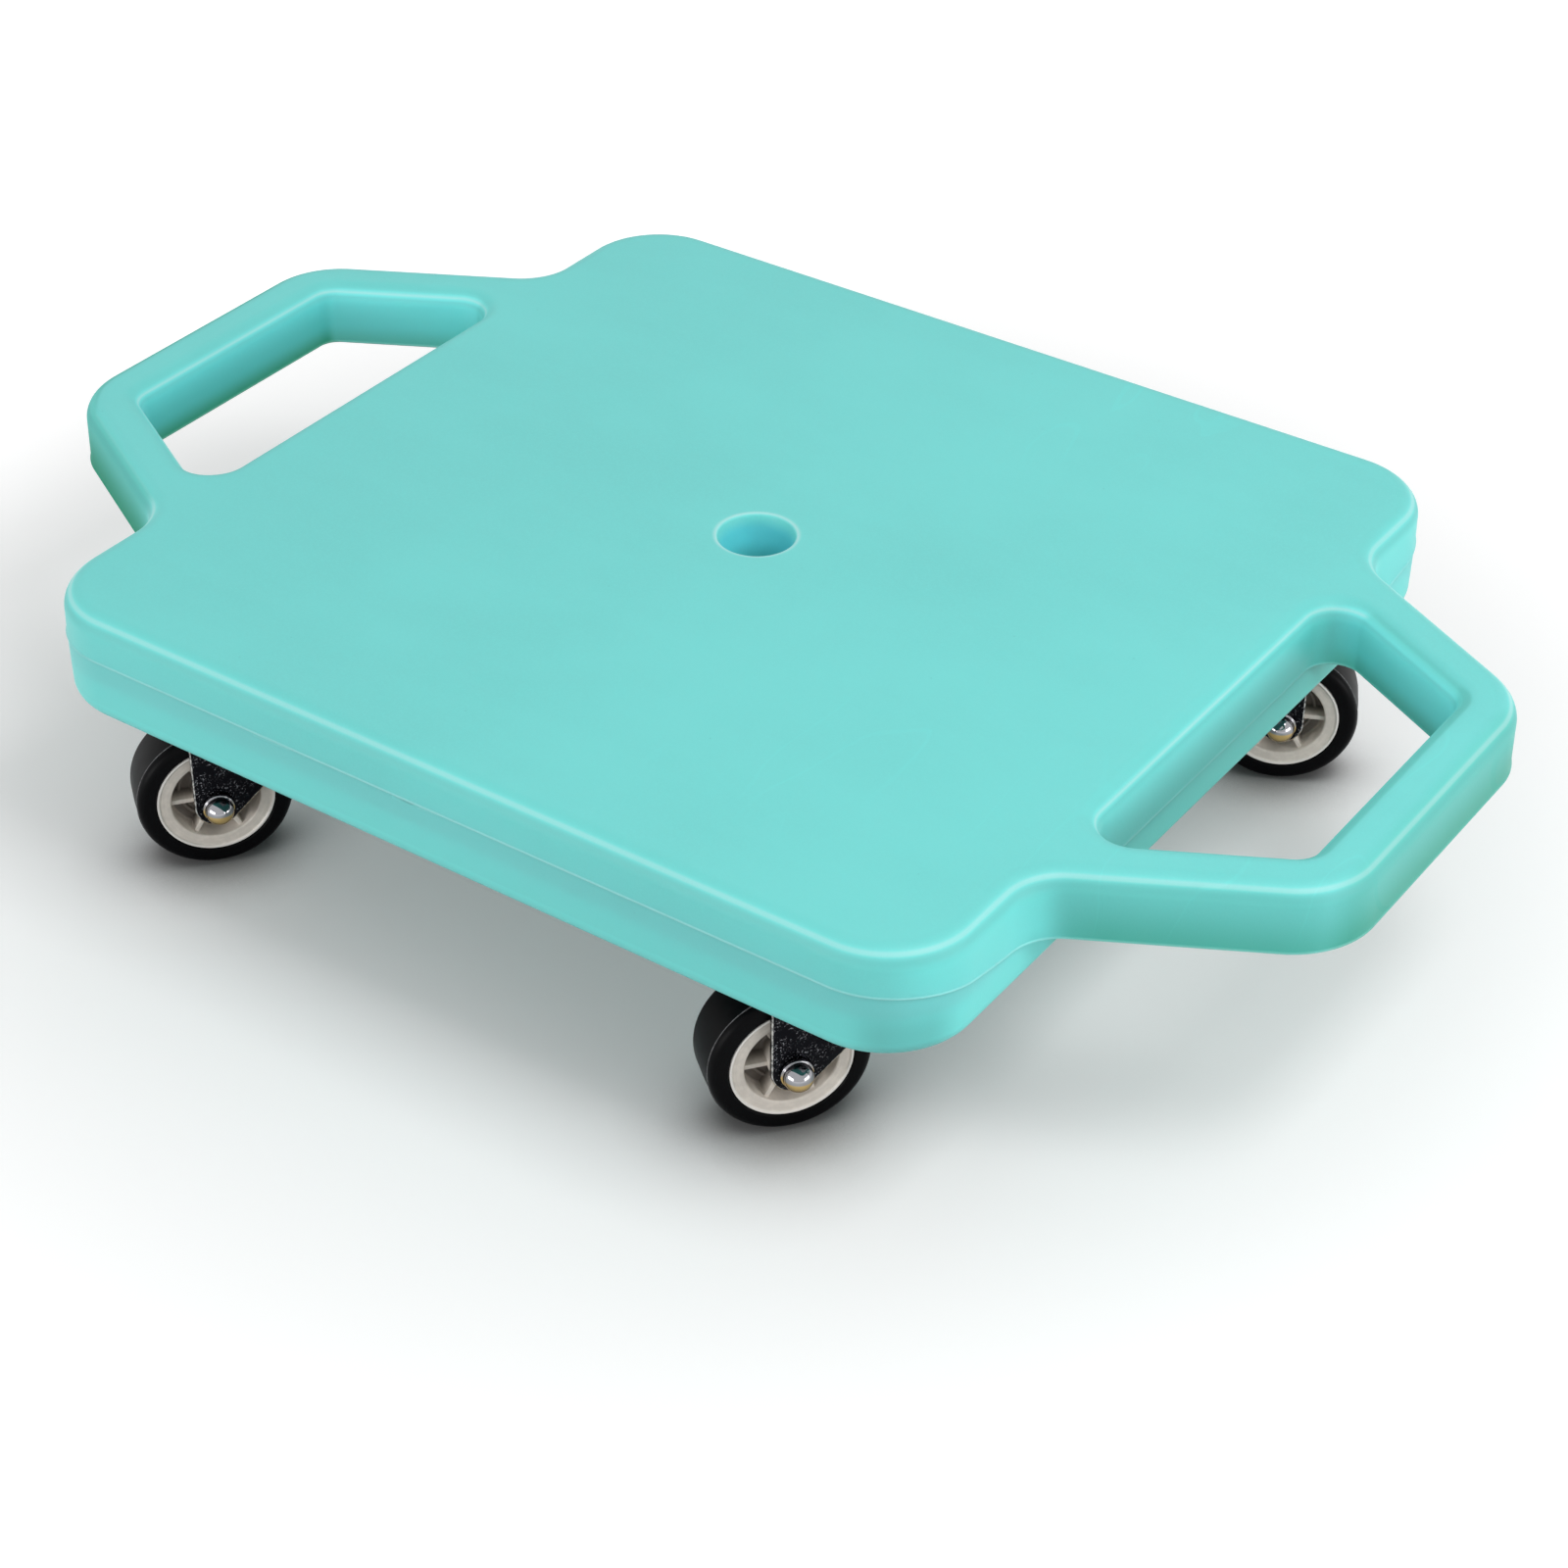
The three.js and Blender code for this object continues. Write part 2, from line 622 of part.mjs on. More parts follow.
// One caster. The plate and its screws stay square to the deck, and the rest is turned about the kingpin.
// The front pair trails to the front and the back pair to the back, with all dome nuts on the same side.
function makeCaster(caster) {
  const pivot = pivotOf(caster);
  const mount = new THREE.Group();
  mount.position.set(pivot.x, pivot.y, casterHeight);
  mount.add(toMesh(`mount_plate_${caster.name}`, mountPlate(), zinc));
  screwPlaces.forEach(([x, y], i) => {
    mount.add(toMesh(`plate_screw_${caster.name}_${i + 1}`, plateScrew(x, y), steel));
  });
  const swivel = new THREE.Group();
  swivel.rotation.z = caster.sideY < 0 ? frontCasterTurn : backCasterTurn;
  const nutSide = -caster.sideY;
  swivel.add(
    toMesh(`kingpin_${caster.name}`, kingpin(), steel),
    toMesh(`ball_ring_${caster.name}`, ballRing(), steel),
    toMesh(`swivel_cap_${caster.name}`, swivelCap(), zinc),
    toMesh(`fork_${caster.name}`, fork(), chrome),
    toMesh(`axle_sleeve_${caster.name}`, axleSleeve(), steel),
    toMesh(`axle_bolt_${caster.name}`, axleBolt(nutSide), zinc),
    toMesh(`dome_nut_${caster.name}`, domeNut(nutSide), chrome),
    toMesh(`hub_${caster.name}`, hub(), nylon),
    toMesh(`tyre_${caster.name}`, tyre(), rubber),
  );
  mount.add(swivel);
  return mount;
}

const group = new THREE.Group();
group.add(makeDeck(), ...casters.map(makeCaster));

export default group;
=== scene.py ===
"""Scooter board: a moulded plastic deck with two hand loops on four swivel casters.

Metres, +Z up. The board stands on the floor under the origin, X runs from hand loop to hand loop,
and the front edge of the deck faces -Y.
"""

import json
import math

import bmesh
import bpy
from bpy.props import FloatProperty, FloatVectorProperty, IntProperty, PointerProperty
from bpy.types import Operator, Panel, PropertyGroup
from mathutils import Matrix, Vector, geometry


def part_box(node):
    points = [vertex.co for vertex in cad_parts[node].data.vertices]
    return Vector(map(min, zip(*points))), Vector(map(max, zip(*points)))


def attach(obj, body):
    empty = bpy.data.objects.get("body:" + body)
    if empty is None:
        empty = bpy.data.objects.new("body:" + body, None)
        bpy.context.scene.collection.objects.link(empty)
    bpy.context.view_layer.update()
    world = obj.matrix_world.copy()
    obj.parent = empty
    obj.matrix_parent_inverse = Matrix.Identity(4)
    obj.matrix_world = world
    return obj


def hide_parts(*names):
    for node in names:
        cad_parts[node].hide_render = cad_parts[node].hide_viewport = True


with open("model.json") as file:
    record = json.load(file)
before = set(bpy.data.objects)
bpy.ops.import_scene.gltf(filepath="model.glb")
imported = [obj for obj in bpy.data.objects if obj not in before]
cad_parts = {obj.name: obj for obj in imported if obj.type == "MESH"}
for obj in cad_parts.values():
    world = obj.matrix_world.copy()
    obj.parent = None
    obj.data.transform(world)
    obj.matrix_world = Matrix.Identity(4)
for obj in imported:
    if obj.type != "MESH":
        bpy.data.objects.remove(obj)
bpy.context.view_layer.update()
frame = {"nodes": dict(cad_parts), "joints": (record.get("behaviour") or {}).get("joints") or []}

bl_info = {
    "name": "Scooter Board",
    "version": (1, 0, 0),
    "blender": (4, 5, 0),
    "location": "3D View > Sidebar > Scooter Board",
    "description": "Builds a moulded scooter board with hand loops and swivel casters",
    "category": "Add Mesh",
}

MM = 0.001
SAME_PLACE = 0.001 * MM
CASTERS = ("front_right", "front_left", "back_right", "back_left")
JOINTS = {joint["name"]: joint for joint in frame["joints"]}
DECK_LOW, DECK_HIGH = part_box("deck")
FLOOR_TO_AXLE = JOINTS["wheel_front_right_roll"]["pos_m"][2]


# Sizes and colours ---------------------------------------------------------------------------


def length(name, description, default):
    """A size in metres."""
    return FloatProperty(
        name=name, description=description, default=default, min=0.0, unit="LENGTH", precision=4
    )


def angle(name, description, default):
    """An angle, given in degrees."""
    return FloatProperty(name=name, description=description, default=math.radians(default), unit="ROTATION")


def colour(name, description, default):
    """A colour in scene linear values."""
    return FloatVectorProperty(
        name=name, description=description, default=default, size=3, min=0.0, max=1.0, subtype="COLOR"
    )


class DeckSizes(PropertyGroup):
    """Sizes of the moulded deck."""

    seat_length: length("Seat length", "Seat from end wall to end wall", 312 * MM)
    corner_radius: length("Corner radius", "Corners of the seat", 28 * MM)
    loop_root_width: length("Loop root width", "Hand loop where it leaves the seat", 191 * MM)
    loop_end_width: length("Loop end width", "Hand loop at its outer bar", 112 * MM)
    loop_root_radius: length("Loop root radius", "Hollow corner between seat and loop", 16 * MM)
    loop_corner_radius: length("Loop corner radius", "Outer corners of the hand loop", 28 * MM)
    loop_thickness: length("Loop thickness", "Hand loop from its top to its underside", 21 * MM)
    grip_width: length("Grip width", "Bar of the hand loop", 19 * MM)
    top_edge: length("Top edge radius", "Rounding of the upper edge", 6 * MM)
    bottom_edge: length("Bottom edge radius", "Rounding of the lower edge", 5 * MM)
    opening_edge: length("Opening edge radius", "Rounding of the upper rim of a hand opening", 6 * MM)
    side_parting_depth: length(
        "Side parting depth", "Parting line under the top on the long sides", 14.6 * MM)
    flash_height: length("Flash height", "How far the parting line stands proud", 0.33 * MM)
    hole_mouth: length("Rope hole mouth", "Diameter of the rope hole at the seat", 24 * MM)
    hole_neck: length("Rope hole neck", "Diameter of the rope hole at half depth", 14 * MM)
    hole_edge: length("Rope hole rim radius", "Rounding of the rope hole's rims", 1.6 * MM)
    cone_mouth: length("Cone mouth", "Tack-off cone at the underside", 22 * MM)
    cone_floor: length("Cone floor", "Tack-off cone at its bottom", 10 * MM)
    cone_depth: length("Cone depth", "Depth of a tack-off cone", 20 * MM)
    cone_pitch: length("Cone pitch", "Distance between the tack-off cones", 60 * MM)


class CasterSizes(PropertyGroup):
    """Sizes of a swivel caster."""

    plate: length("Plate", "Side of the square mounting plate", 50 * MM)
    plate_thickness: length("Plate thickness", "Sheet of the mounting plate", 2 * MM)
    screw_pitch: length("Screw pitch", "Distance between two plate screws", 36 * MM)
    screw_head: length("Screw head", "Diameter of a screw head", 8 * MM)
    ball: length("Ball", "Diameter of a bearing ball", 3.8 * MM)
    ball_count: IntProperty(name="Ball count", description="Balls in the swivel bearing", default=8, min=3)
    ball_circle: length("Ball circle", "Diameter of the circle that the balls run on", 26 * MM)
    crown: length("Crown", "Diameter of the fork's crown", 35 * MM)
    sheet: length("Fork sheet", "Thickness of the fork's sheet", 2 * MM)
    eye: length("Fork eye", "Radius of a leg round the axle", 7 * MM)
    lead: length("Fork lead", "Crown in front of the kingpin", 11 * MM)
    tyre_width: length("Tyre width", "Width of the tyre", 19 * MM)
    tyre_shoulder: length("Tyre shoulder", "Rounding between tread and side", 2.6 * MM)
    hub: length("Hub", "Outer diameter of the hub's rim", 35.8 * MM)
    hub_inside: length("Hub inside", "Inner diameter of the hub's rim", 27 * MM)
    hub_width: length("Hub width", "Width of the hub's rim", 18 * MM)
    boss: length("Hub boss", "Diameter of the boss round the axle", 13 * MM)
    boss_length: length("Hub boss length", "Length of the boss", 20.6 * MM)
    rib_count: IntProperty(name="Rib count", description="Ribs between boss and rim", default=6, min=3)
    rib: length("Rib thickness", "Thickness of a hub rib", 1.5 * MM)
    rib_width: length("Rib width", "Width of a hub rib across the wheel", 15 * MM)
    nut_flange: length("Nut flange", "Diameter of the dome nut's flange", 9.6 * MM)
    nut_dome: length("Nut dome", "Diameter of the dome", 8.8 * MM)
    nut_height: length("Nut height", "Dome nut from its seat to its top", 6.4 * MM)


class BoardColours(PropertyGroup):
    """Colours of the board's finishes."""

    deck: colour("Deck", "Moulded plastic of the deck", (0.176, 0.69, 0.66))
    tyre: colour("Tyre", "Rubber of the tyres", (0.0025, 0.0025, 0.003))
    hub: colour("Hub", "Plastic of the hubs", (0.78, 0.72, 0.65))
    fork: colour("Fork", "Black chrome of the forks", (0.007, 0.007, 0.009))
    chrome: colour("Chrome", "Chrome of the dome nuts", (0.34, 0.34, 0.36))
    # Painted warm reflection on the forks' edges and the nuts where they face down
    warm_reflection_tint: colour(
        "Edge tint", "Yellowish plating where a fork's edge or a nut faces down", (0.6, 0.42, 0.17))
    zinc: colour("Zinc", "Zinc plating", (0.5, 0.51, 0.53))
    steel: colour("Steel", "Bare steel", (0.42, 0.43, 0.45))
    floor: colour("Floor", "Floor and backdrop", (0.9, 0.9, 0.9))


def light_power(name, description, default):
    """A lamp's power in watts."""
    return FloatProperty(name=name, description=description, default=default, unit="POWER")


class StageSettings(PropertyGroup):
    """Camera and light."""

    azimuth: angle("Azimuth", "Camera's turn round the board", 34.511)
    elevation: angle("Elevation", "Camera above the horizon", 35.752)
    roll: angle("Roll", "Camera's turn about its own view", 0.576)
    distance: length("Distance", "Camera to the point that it looks at", 0.9289)
    target: FloatVectorProperty(
        name="Target", description="Point on the seat that the camera looks at",
        default=(0.0798, -0.1003), size=2, subtype="XYZ", unit="LENGTH",
    )
    lens: FloatProperty(
        name="Lens", description="Focal length in millimetres", default=79.16, min=1.0, unit="CAMERA",
    )
    top_light: light_power("Top light", "Lamp over the right", 5.15)
    front_light: light_power("Front light", "Low lamp in front", 9.2)
    right_light: light_power("Right light", "Low lamp at the right", 7.4)
    ambient: FloatProperty(name="Ambient", description="Light from all round", default=0.6, min=0.0)


# Outlines and meshes -------------------------------------------------------------------------


def rounded_outline(corners, inset, spacing=8 * MM):
    """Points round a polygon of corners (x, y, radius, steps), anticlockwise, moved inward by inset."""
    tips = [Vector(corner[:2]) for corner in corners]
    count = len(tips)
    ways = [(tips[(i + 1) % count] - tips[i]).normalized() for i in range(count)]
    arcs = []
    for i, (_, _, radius, steps) in enumerate(corners):
        before, after = ways[i - 1], ways[i]
        turn = math.atan2(before.x * after.y - before.y * after.x, before.dot(after))
        side = math.copysign(1.0, turn)
        inward = Vector((-before.y, before.x))
        tip = tips[i] + inward * inset - before * math.tan(turn / 2) * inset
        bend = max(radius - side * inset, radius * 0.1)
        start = tip - before * bend * math.tan(abs(turn) / 2)
        centre = start + inward * side * bend
        arc = []
        for k in range(steps + 1):
            spin = Matrix.Rotation(turn * k / steps, 2)
            arc.append(centre + spin @ (start - centre))
        arcs.append(arc)
    points = []
    for i, arc in enumerate(arcs):
        points += arc
        following = arcs[(i + 1) % count][0]
        parts = max(1, round((tips[(i + 1) % count] - tips[i]).length / spacing))
        points += [arc[-1].lerp(following, k / parts) for k in range(1, parts)]
    return points


def half_turn(corners):
    """The same corners on the other side of the middle."""
    return [(-x, -y, radius, steps) for x, y, radius, steps in corners]


def ring(corners, inset, height):
    """An outline at a height, which is a number or a function of a point."""
    return [
        Vector((point.x, point.y, height(point) if callable(height) else height))
        for point in rounded_outline(corners, inset)
    ]


def round_edge(radius, inset, start, end, steps):
    """Insets and heights of a rounded edge between a wall and a flat that lies at height end."""
    way = math.copysign(1.0, end - start)
    pairs = []
    for k in range(steps + 1):
        turn = math.pi / 2 * k / steps
        pairs.append((inset + radius * (1 - math.cos(turn)), end - way * radius * (1 - math.sin(turn))))
    return pairs


def loft(bm, rings, edge_light_shares=None):
    """Joins rings of equal length with faces and returns their vertices. The optional shares give each ring
    its share of painted edge highlight.
    """
    made = [[bm.verts.new(point) for point in points] for points in rings]
    for lower, upper in zip(made, made[1:]):
        for k in range(len(lower)):
            n = (k + 1) % len(lower)
            bm.faces.new((lower[k], lower[n], upper[n], upper[k]))
    if edge_light_shares:
        layer = bm.verts.layers.float["edge_light_shares"]
        for share, vertices in zip(edge_light_shares, made):
            for vertex in vertices:
                vertex[layer] = share
    return made


def cap(bm, outer, holes=()):
    """Covers a ring of vertices with faces and leaves the holes open."""
    loops = [outer, *holes]
    corners = [vertex for loop in loops for vertex in loop]
    flat = [[Vector((vertex.co.x, vertex.co.y, 0.0)) for vertex in loop] for loop in loops]
    for a, b, c in geometry.tessellate_polygon(flat):
        bm.faces.new((corners[a], corners[b], corners[c]))


def soften(points, closed=False, steps=5):
    """Rounds the corners of a profile: each point is (radius, along) or (radius, along, fillet)."""
    out = []
    count = len(points)
    for i, point in enumerate(points):
        here = Vector(point[:2])
        fillet = point[2] if len(point) > 2 else 0.0
        if fillet == 0.0 or (not closed and i in (0, count - 1)):
            out.append(here)
            continue
        to_last = Vector(points[i - 1][:2]) - here
        to_next = Vector(points[(i + 1) % count][:2]) - here
        opening = to_last.angle(to_next)
        reach = min(fillet / math.tan(opening / 2), 0.49 * to_last.length, 0.49 * to_next.length)
        radius = reach * math.tan(opening / 2)
        middle = (to_last.normalized() + to_next.normalized()).normalized()
        centre = here + middle * (radius / math.sin(opening / 2))
        start = here + to_last.normalized() * reach - centre
        end = here + to_next.normalized() * reach - centre
        sweep = math.atan2(start.x * end.y - start.y * end.x, start.dot(end))
        out += [centre + Matrix.Rotation(sweep * k / steps, 2) @ start for k in range(steps + 1)]
    return out


def circle(radius, height, sides, x=0.0, y=0.0):
    """Points of a circle at a height."""
    spots = [2 * math.pi * k / sides for k in range(sides)]
    return [Vector((x + radius * math.cos(spot), y + radius * math.sin(spot), height)) for spot in spots]


TINY = 1e-7
UPRIGHT = Matrix.Identity(4)
ALONG_Y = Matrix(((1, 0, 0, 0), (0, 0, -1, 0), (0, 1, 0, 0), (0, 0, 0, 1)))
ALONG_AXLE = Matrix(((0, 0, 1, 0), (1, 0, 0, 0), (0, 1, 0, 0), (0, 0, 0, 1)))


def turned(bm, points, sides, at=UPRIGHT, closed=False, steps=5):
    """Softens a profile of (radius, along) points and turns it about the local Z axis of at."""
    rings = []
    for radius, along in soften(points, closed, steps):
        if radius < TINY:
            rings.append([bm.verts.new(at @ Vector((0.0, 0.0, along)))])
        else:
            rings.append([bm.verts.new(at @ point) for point in circle(radius, along, sides)])
    pairs = list(zip(rings, rings[1:]))
    if closed:
        pairs.append((rings[-1], rings[0]))
    for lower, upper in pairs:
        for k in range(sides):
            n = (k + 1) % sides
            corners = [line[i % len(line)] for line, i in ((lower, k), (lower, n), (upper, n), (upper, k))]
            bm.faces.new(list(dict.fromkeys(corners)))


def plain_mesh(name, bm):
    """Ends a mesh as it is."""
    mesh = bpy.data.meshes.new(name)
    bm.to_mesh(mesh)
    bm.free()
    return mesh


def to_mesh(name, bm, finish, sharp=35):
    """Ends a mesh: outward faces, smooth shading with edges over the sharp angle kept, and its finish."""
    bmesh.ops.recalc_face_normals(bm, faces=bm.faces)
    for face in bm.faces:
        face.smooth = True
    for edge in bm.edges:
        edge.smooth = len(edge.link_faces) != 2 or edge.calc_face_angle(0.0) < math.radians(sharp)
    mesh = plain_mesh(name, bm)
    mesh.materials.append(finish)
    return mesh


def turned_mesh(name, finish, points, sides, at=UPRIGHT, closed=False, steps=5, sharp=35):
    """A mesh of one turned profile."""
    bm = bmesh.new()
    turned(bm, points, sides, at, closed, steps)
    return to_mesh(name, bm, finish, sharp)


def add_object(name, data):
    """Adds an object to the scene."""
    made = bpy.data.objects.new(name, data)
    bpy.context.scene.collection.objects.link(made)
    return made


def put(name, mesh, body, nodes, at=UPRIGHT):
    """Places a mesh as a piece that rides on a body and stands for CAD nodes."""
    piece = add_object(name, mesh)
    piece.matrix_world = at
    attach(piece, body)
    if nodes:
        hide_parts(*nodes)


def put_on_casters(name, mesh, body, node, place):
    """Puts a mesh on every caster, at place(caster). The {} in a body's name stands for the caster."""
    for caster in CASTERS:
        nodes = [f"{node}_{caster}"] if node else []
        put(f"{name}_{caster}", mesh, body.format(caster), nodes, place(caster))


def carve(mesh, tools, operation="DIFFERENCE"):
    """Cuts or joins meshes with exact booleans and returns the new mesh."""
    base = add_object("base", mesh)
    helpers = [base]
    for tool in tools:
        helper = add_object("tool", tool)
        helpers.append(helper)
        step = base.modifiers.new("step", "BOOLEAN")
        step.operation = operation
        step.solver = "EXACT"
        step.object = helper
    return settle(base, helpers)


def settle(base, helpers):
    """Applies an object's modifiers, removes the helpers and returns the mesh."""
    bpy.context.view_layer.update()
    evaluated = base.evaluated_get(bpy.context.evaluated_depsgraph_get())
    mesh = bpy.data.meshes.new_from_object(evaluated)
    for helper in helpers:
        bpy.data.objects.remove(helper)
    return mesh


def turn_matrix(caster):
    """Frame of a caster: its origin is the kingpin at the deck's underside, and the wheel trails to -Y."""
    pivot = Vector(JOINTS[f"swivel_{caster}_turn"]["pos_m"])
    trail = Vector(JOINTS[f"wheel_{caster}_roll"]["pos_m"]) - pivot
    return Matrix.Translation(pivot) @ Matrix.Rotation(math.atan2(trail.x, -trail.y), 4, "Z")


def wheel_matrix(caster):
    """Frame of a wheel: its origin is the middle of the wheel, and the dome nut is at +X."""
    place = Vector(JOINTS[f"wheel_{caster}_roll"]["pos_m"])
    along = Vector(JOINTS[f"wheel_{caster}_roll"]["axis"])
    return Matrix.Translation(place) @ Matrix.Rotation(math.atan2(along.y, along.x), 4, "Z")


def pivot_matrix(caster):
    """Frame of what stays square to the deck: its origin is the kingpin at the deck's underside."""
    return Matrix.Translation(JOINTS[f"swivel_{caster}_turn"]["pos_m"])


# Finishes ------------------------------------------------------------------------------------


class Value:
    """An output of a shader node. Arithmetic on it adds Math nodes."""

    def __init__(self, shader, output):
        self.shader = shader
        self.output = output

    def math(self, operation, *others):
        """Adds a Math node that takes this value first."""
        return self.shader.node("ShaderNodeMath", {"operation": operation}, dict(enumerate((self, *others))))

    def __add__(self, other):
        return self.math("ADD", other)

    def __sub__(self, other):
        return self.math("SUBTRACT", other)

    def __rsub__(self, other):
        return self.math("MULTIPLY_ADD", -1.0, other)

    def __mul__(self, other):
        return self.math("MULTIPLY", other)

    __radd__ = __add__

    def ramp(self, low, high):
        """0 below low, 1 above high and a smooth rise between."""
        settings = {"interpolation_type": "SMOOTHSTEP"}
        values = {"Value": self, "From Min": low, "From Max": high, "To Min": 0.0, "To Max": 1.0}
        return self.shader.node("ShaderNodeMapRange", settings, values)

    def fall(self, low, high):
        """1 below low, 0 above high and a smooth fall between."""
        return 1.0 - self.ramp(low, high)


class Shader:
    """The nodes of a new material, or of another block of data that has nodes."""

    def __init__(self, name, kind="materials"):
        self.owner = getattr(bpy.data, kind).new(name)
        self.owner.use_nodes = True
        self.tree = self.owner.node_tree
        self.tree.nodes.clear()
        self.place = self.node("ShaderNodeTexCoord", output="Object")

    def node(self, kind, settings=None, values=None, output=0):
        """Adds a node: its settings first, then the values or links of its sockets."""
        made = self.tree.nodes.new(kind)
        for key, value in (settings or {}).items():
            setattr(made, key, value)
        for key, value in (values or {}).items():
            if isinstance(value, Value):
                self.tree.links.new(value.output, made.inputs[key])
            else:
                made.inputs[key].default_value = value
        return Value(self, made.outputs[output]) if made.outputs else None

    def noise(self, scale, detail=2.0, rough=0.5, stretch=None):
        """Soft noise over the piece, about 0.5, with features of 1 / scale metres."""
        place = self.place
        if stretch:
            place = self.node("ShaderNodeVectorMath", {"operation": "MULTIPLY"}, {0: place, 1: stretch})
        values = {"Vector": place, "Scale": scale, "Detail": detail, "Roughness": rough}
        return self.node("ShaderNodeTexNoise", None, values)

    def specks(self, scale, size):
        """Small round spots, 1 inside."""
        distance = self.node("ShaderNodeTexVoronoi", None, {"Vector": self.place, "Scale": scale}, "Distance")
        return distance.fall(size * 0.6, size)

    def scratches(self, scale, width, stretch):
        """Fine lines where a stretched noise crosses its middle value."""
        offset = self.noise(scale, 1.0, 0.4, stretch) - 0.5
        return offset.math("ABSOLUTE").fall(width * 0.4, width)

    def rings(self, scale):
        """Turning marks: a wave over the distance from the piece's own X axis."""
        return (self.from_axis() * scale).math("SINE")

    def from_axis(self, across=(0.0, 1.0, 1.0)):
        """Distance from the piece's own X axis, or from the axis that across leaves out."""
        flat = self.node("ShaderNodeVectorMath", {"operation": "MULTIPLY"}, {0: self.place, 1: across})
        return self.node("ShaderNodeVectorMath", {"operation": "LENGTH"}, {0: flat}, "Value")

    def part(self, vector, axis):
        """One coordinate of a vector."""
        return self.node("ShaderNodeSeparateXYZ", None, {0: vector}, axis)

    def height(self):
        """Height over the piece's own origin."""
        return self.part(self.place, "Z")

    def off_middle(self, axis):
        """Distance from the piece's own origin along one axis."""
        return self.part(self.place, axis).math("ABSOLUTE")

    def facing(self, axis, way=1.0):
        """How far the surface faces along one axis, from -1 to 1. A way of -1 turns the axis round."""
        normal = self.node("ShaderNodeNewGeometry", output="Normal")
        return self.part(normal, axis) * way

    def background_rays(self):
        """1 for the rays that should see the plain pale background."""
        eye, edge_light_shares, glass = (self.node("ShaderNodeLightPath", output=f"Is {kind} Ray")
                             for kind in ("Camera", "Glossy", "Transmission"))
        return eye.math("MAXIMUM", edge_light_shares).math("MAXIMUM", glass)

    def blend(self, factor, first, second):
        """Colour between two colours."""
        ends = [end if isinstance(end, Value) else (*end, 1.0) for end in (first, second)]
        return self.node("ShaderNodeMix", {"data_type": "RGBA"}, {0: factor, 6: ends[0], 7: ends[1]}, 2)

    def painted(self, colour, *layers):
        """A colour with layers (share, tint) laid over it in turn."""
        for share, tint in layers:
            colour = self.blend(share, colour, tint)
        return colour

    def bump(self, field, distance, strength=1.0):
        """Normal of a surface raised by a field."""
        values = {"Height": field, "Distance": distance, "Strength": strength}
        return self.node("ShaderNodeBump", None, values)

    def surface(self, values):
        """Principled surface with these values, and the finished material."""
        shader = self.node("ShaderNodeBsdfPrincipled", None, values)
        self.node("ShaderNodeOutputMaterial", None, {"Surface": shader})
        return self.owner

    def metal(self, colour, rough, normal):
        """Metal surface, and the finished material."""
        return self.surface({
            "Base Color": colour, "Metallic": 1.0, "Roughness": rough, "Normal": normal,
        })


def tone(base, factor):
    """A colour made lighter or darker."""
    return tuple(min(1.0, part * factor) for part in base)


# The deck's painted light and shade change at the places below.
# Where the deck's colour changes, each from a first to a second place in metres. LOOP_START, the two BAR
# places and LOOP_END are distances from the middle along X, and LOOP_SIDES is one along Y. SLANTED_SIDES is
# the distance along Y plus SLANT times the one along X, which follows the slanted sides of the hand openings.
# NEAR_TOP is a height over the underside, and HOLE_RADII is a distance from the middle of the rope hole.
LOOP_START = (0.14, 0.154)
BAR_START = (0.157, 0.166)
BAR_OUTSIDE = (0.212, 0.222)
LOOP_END = (0.221, 0.227)
LOOP_SIDES = (0.085, 0.1)
SLANTED_SIDES = (0.163, 0.172)
SLANT = 0.54
NEAR_TOP = (0.03, 0.0345)
HOLE_RADII = (0.0125, 0.0135)

# Painted light and shade: tints that the deck's colour goes to at these places
# Painted light on the end walls that face +X
PAINTED_WALL_LIGHT = (0.22, 1.0, 0.96)
# Painted shade, darker and greener, low on the walls and on the outer ends of the loops
PAINTED_LOW_SHADE = (0.06, 0.42, 0.33)
# Painted shade on the loop bars that face -X
PAINTED_LEE_SHADE = (0.02, 0.25, 0.15)
# Painted light, bluer, on the upper walls of the hand openings
PAINTED_OPENING_LIGHT = (0.16, 0.84, 0.86)
# Painted shade at the foot of the hand openings' walls
PAINTED_OPENING_SHADE = (0.02, 0.34, 0.1)
# Painted light on the hand openings' walls that face the front
PAINTED_FRONT_WALL_LIGHT = (0.3, 1.0, 1.0)
# Painted light, bluer, on the rope hole's wall
PAINTED_HOLE_LIGHT = (0.12, 0.78, 0.95)
# Painted shade deep in the rope hole
PAINTED_HOLE_SHADE = (0.03, 0.3, 0.28)
# Painted highlight along the rounded edges, the flash and the rope hole's mouth
PAINTED_EDGE_HIGHLIGHT = (0.74, 0.84, 0.86)


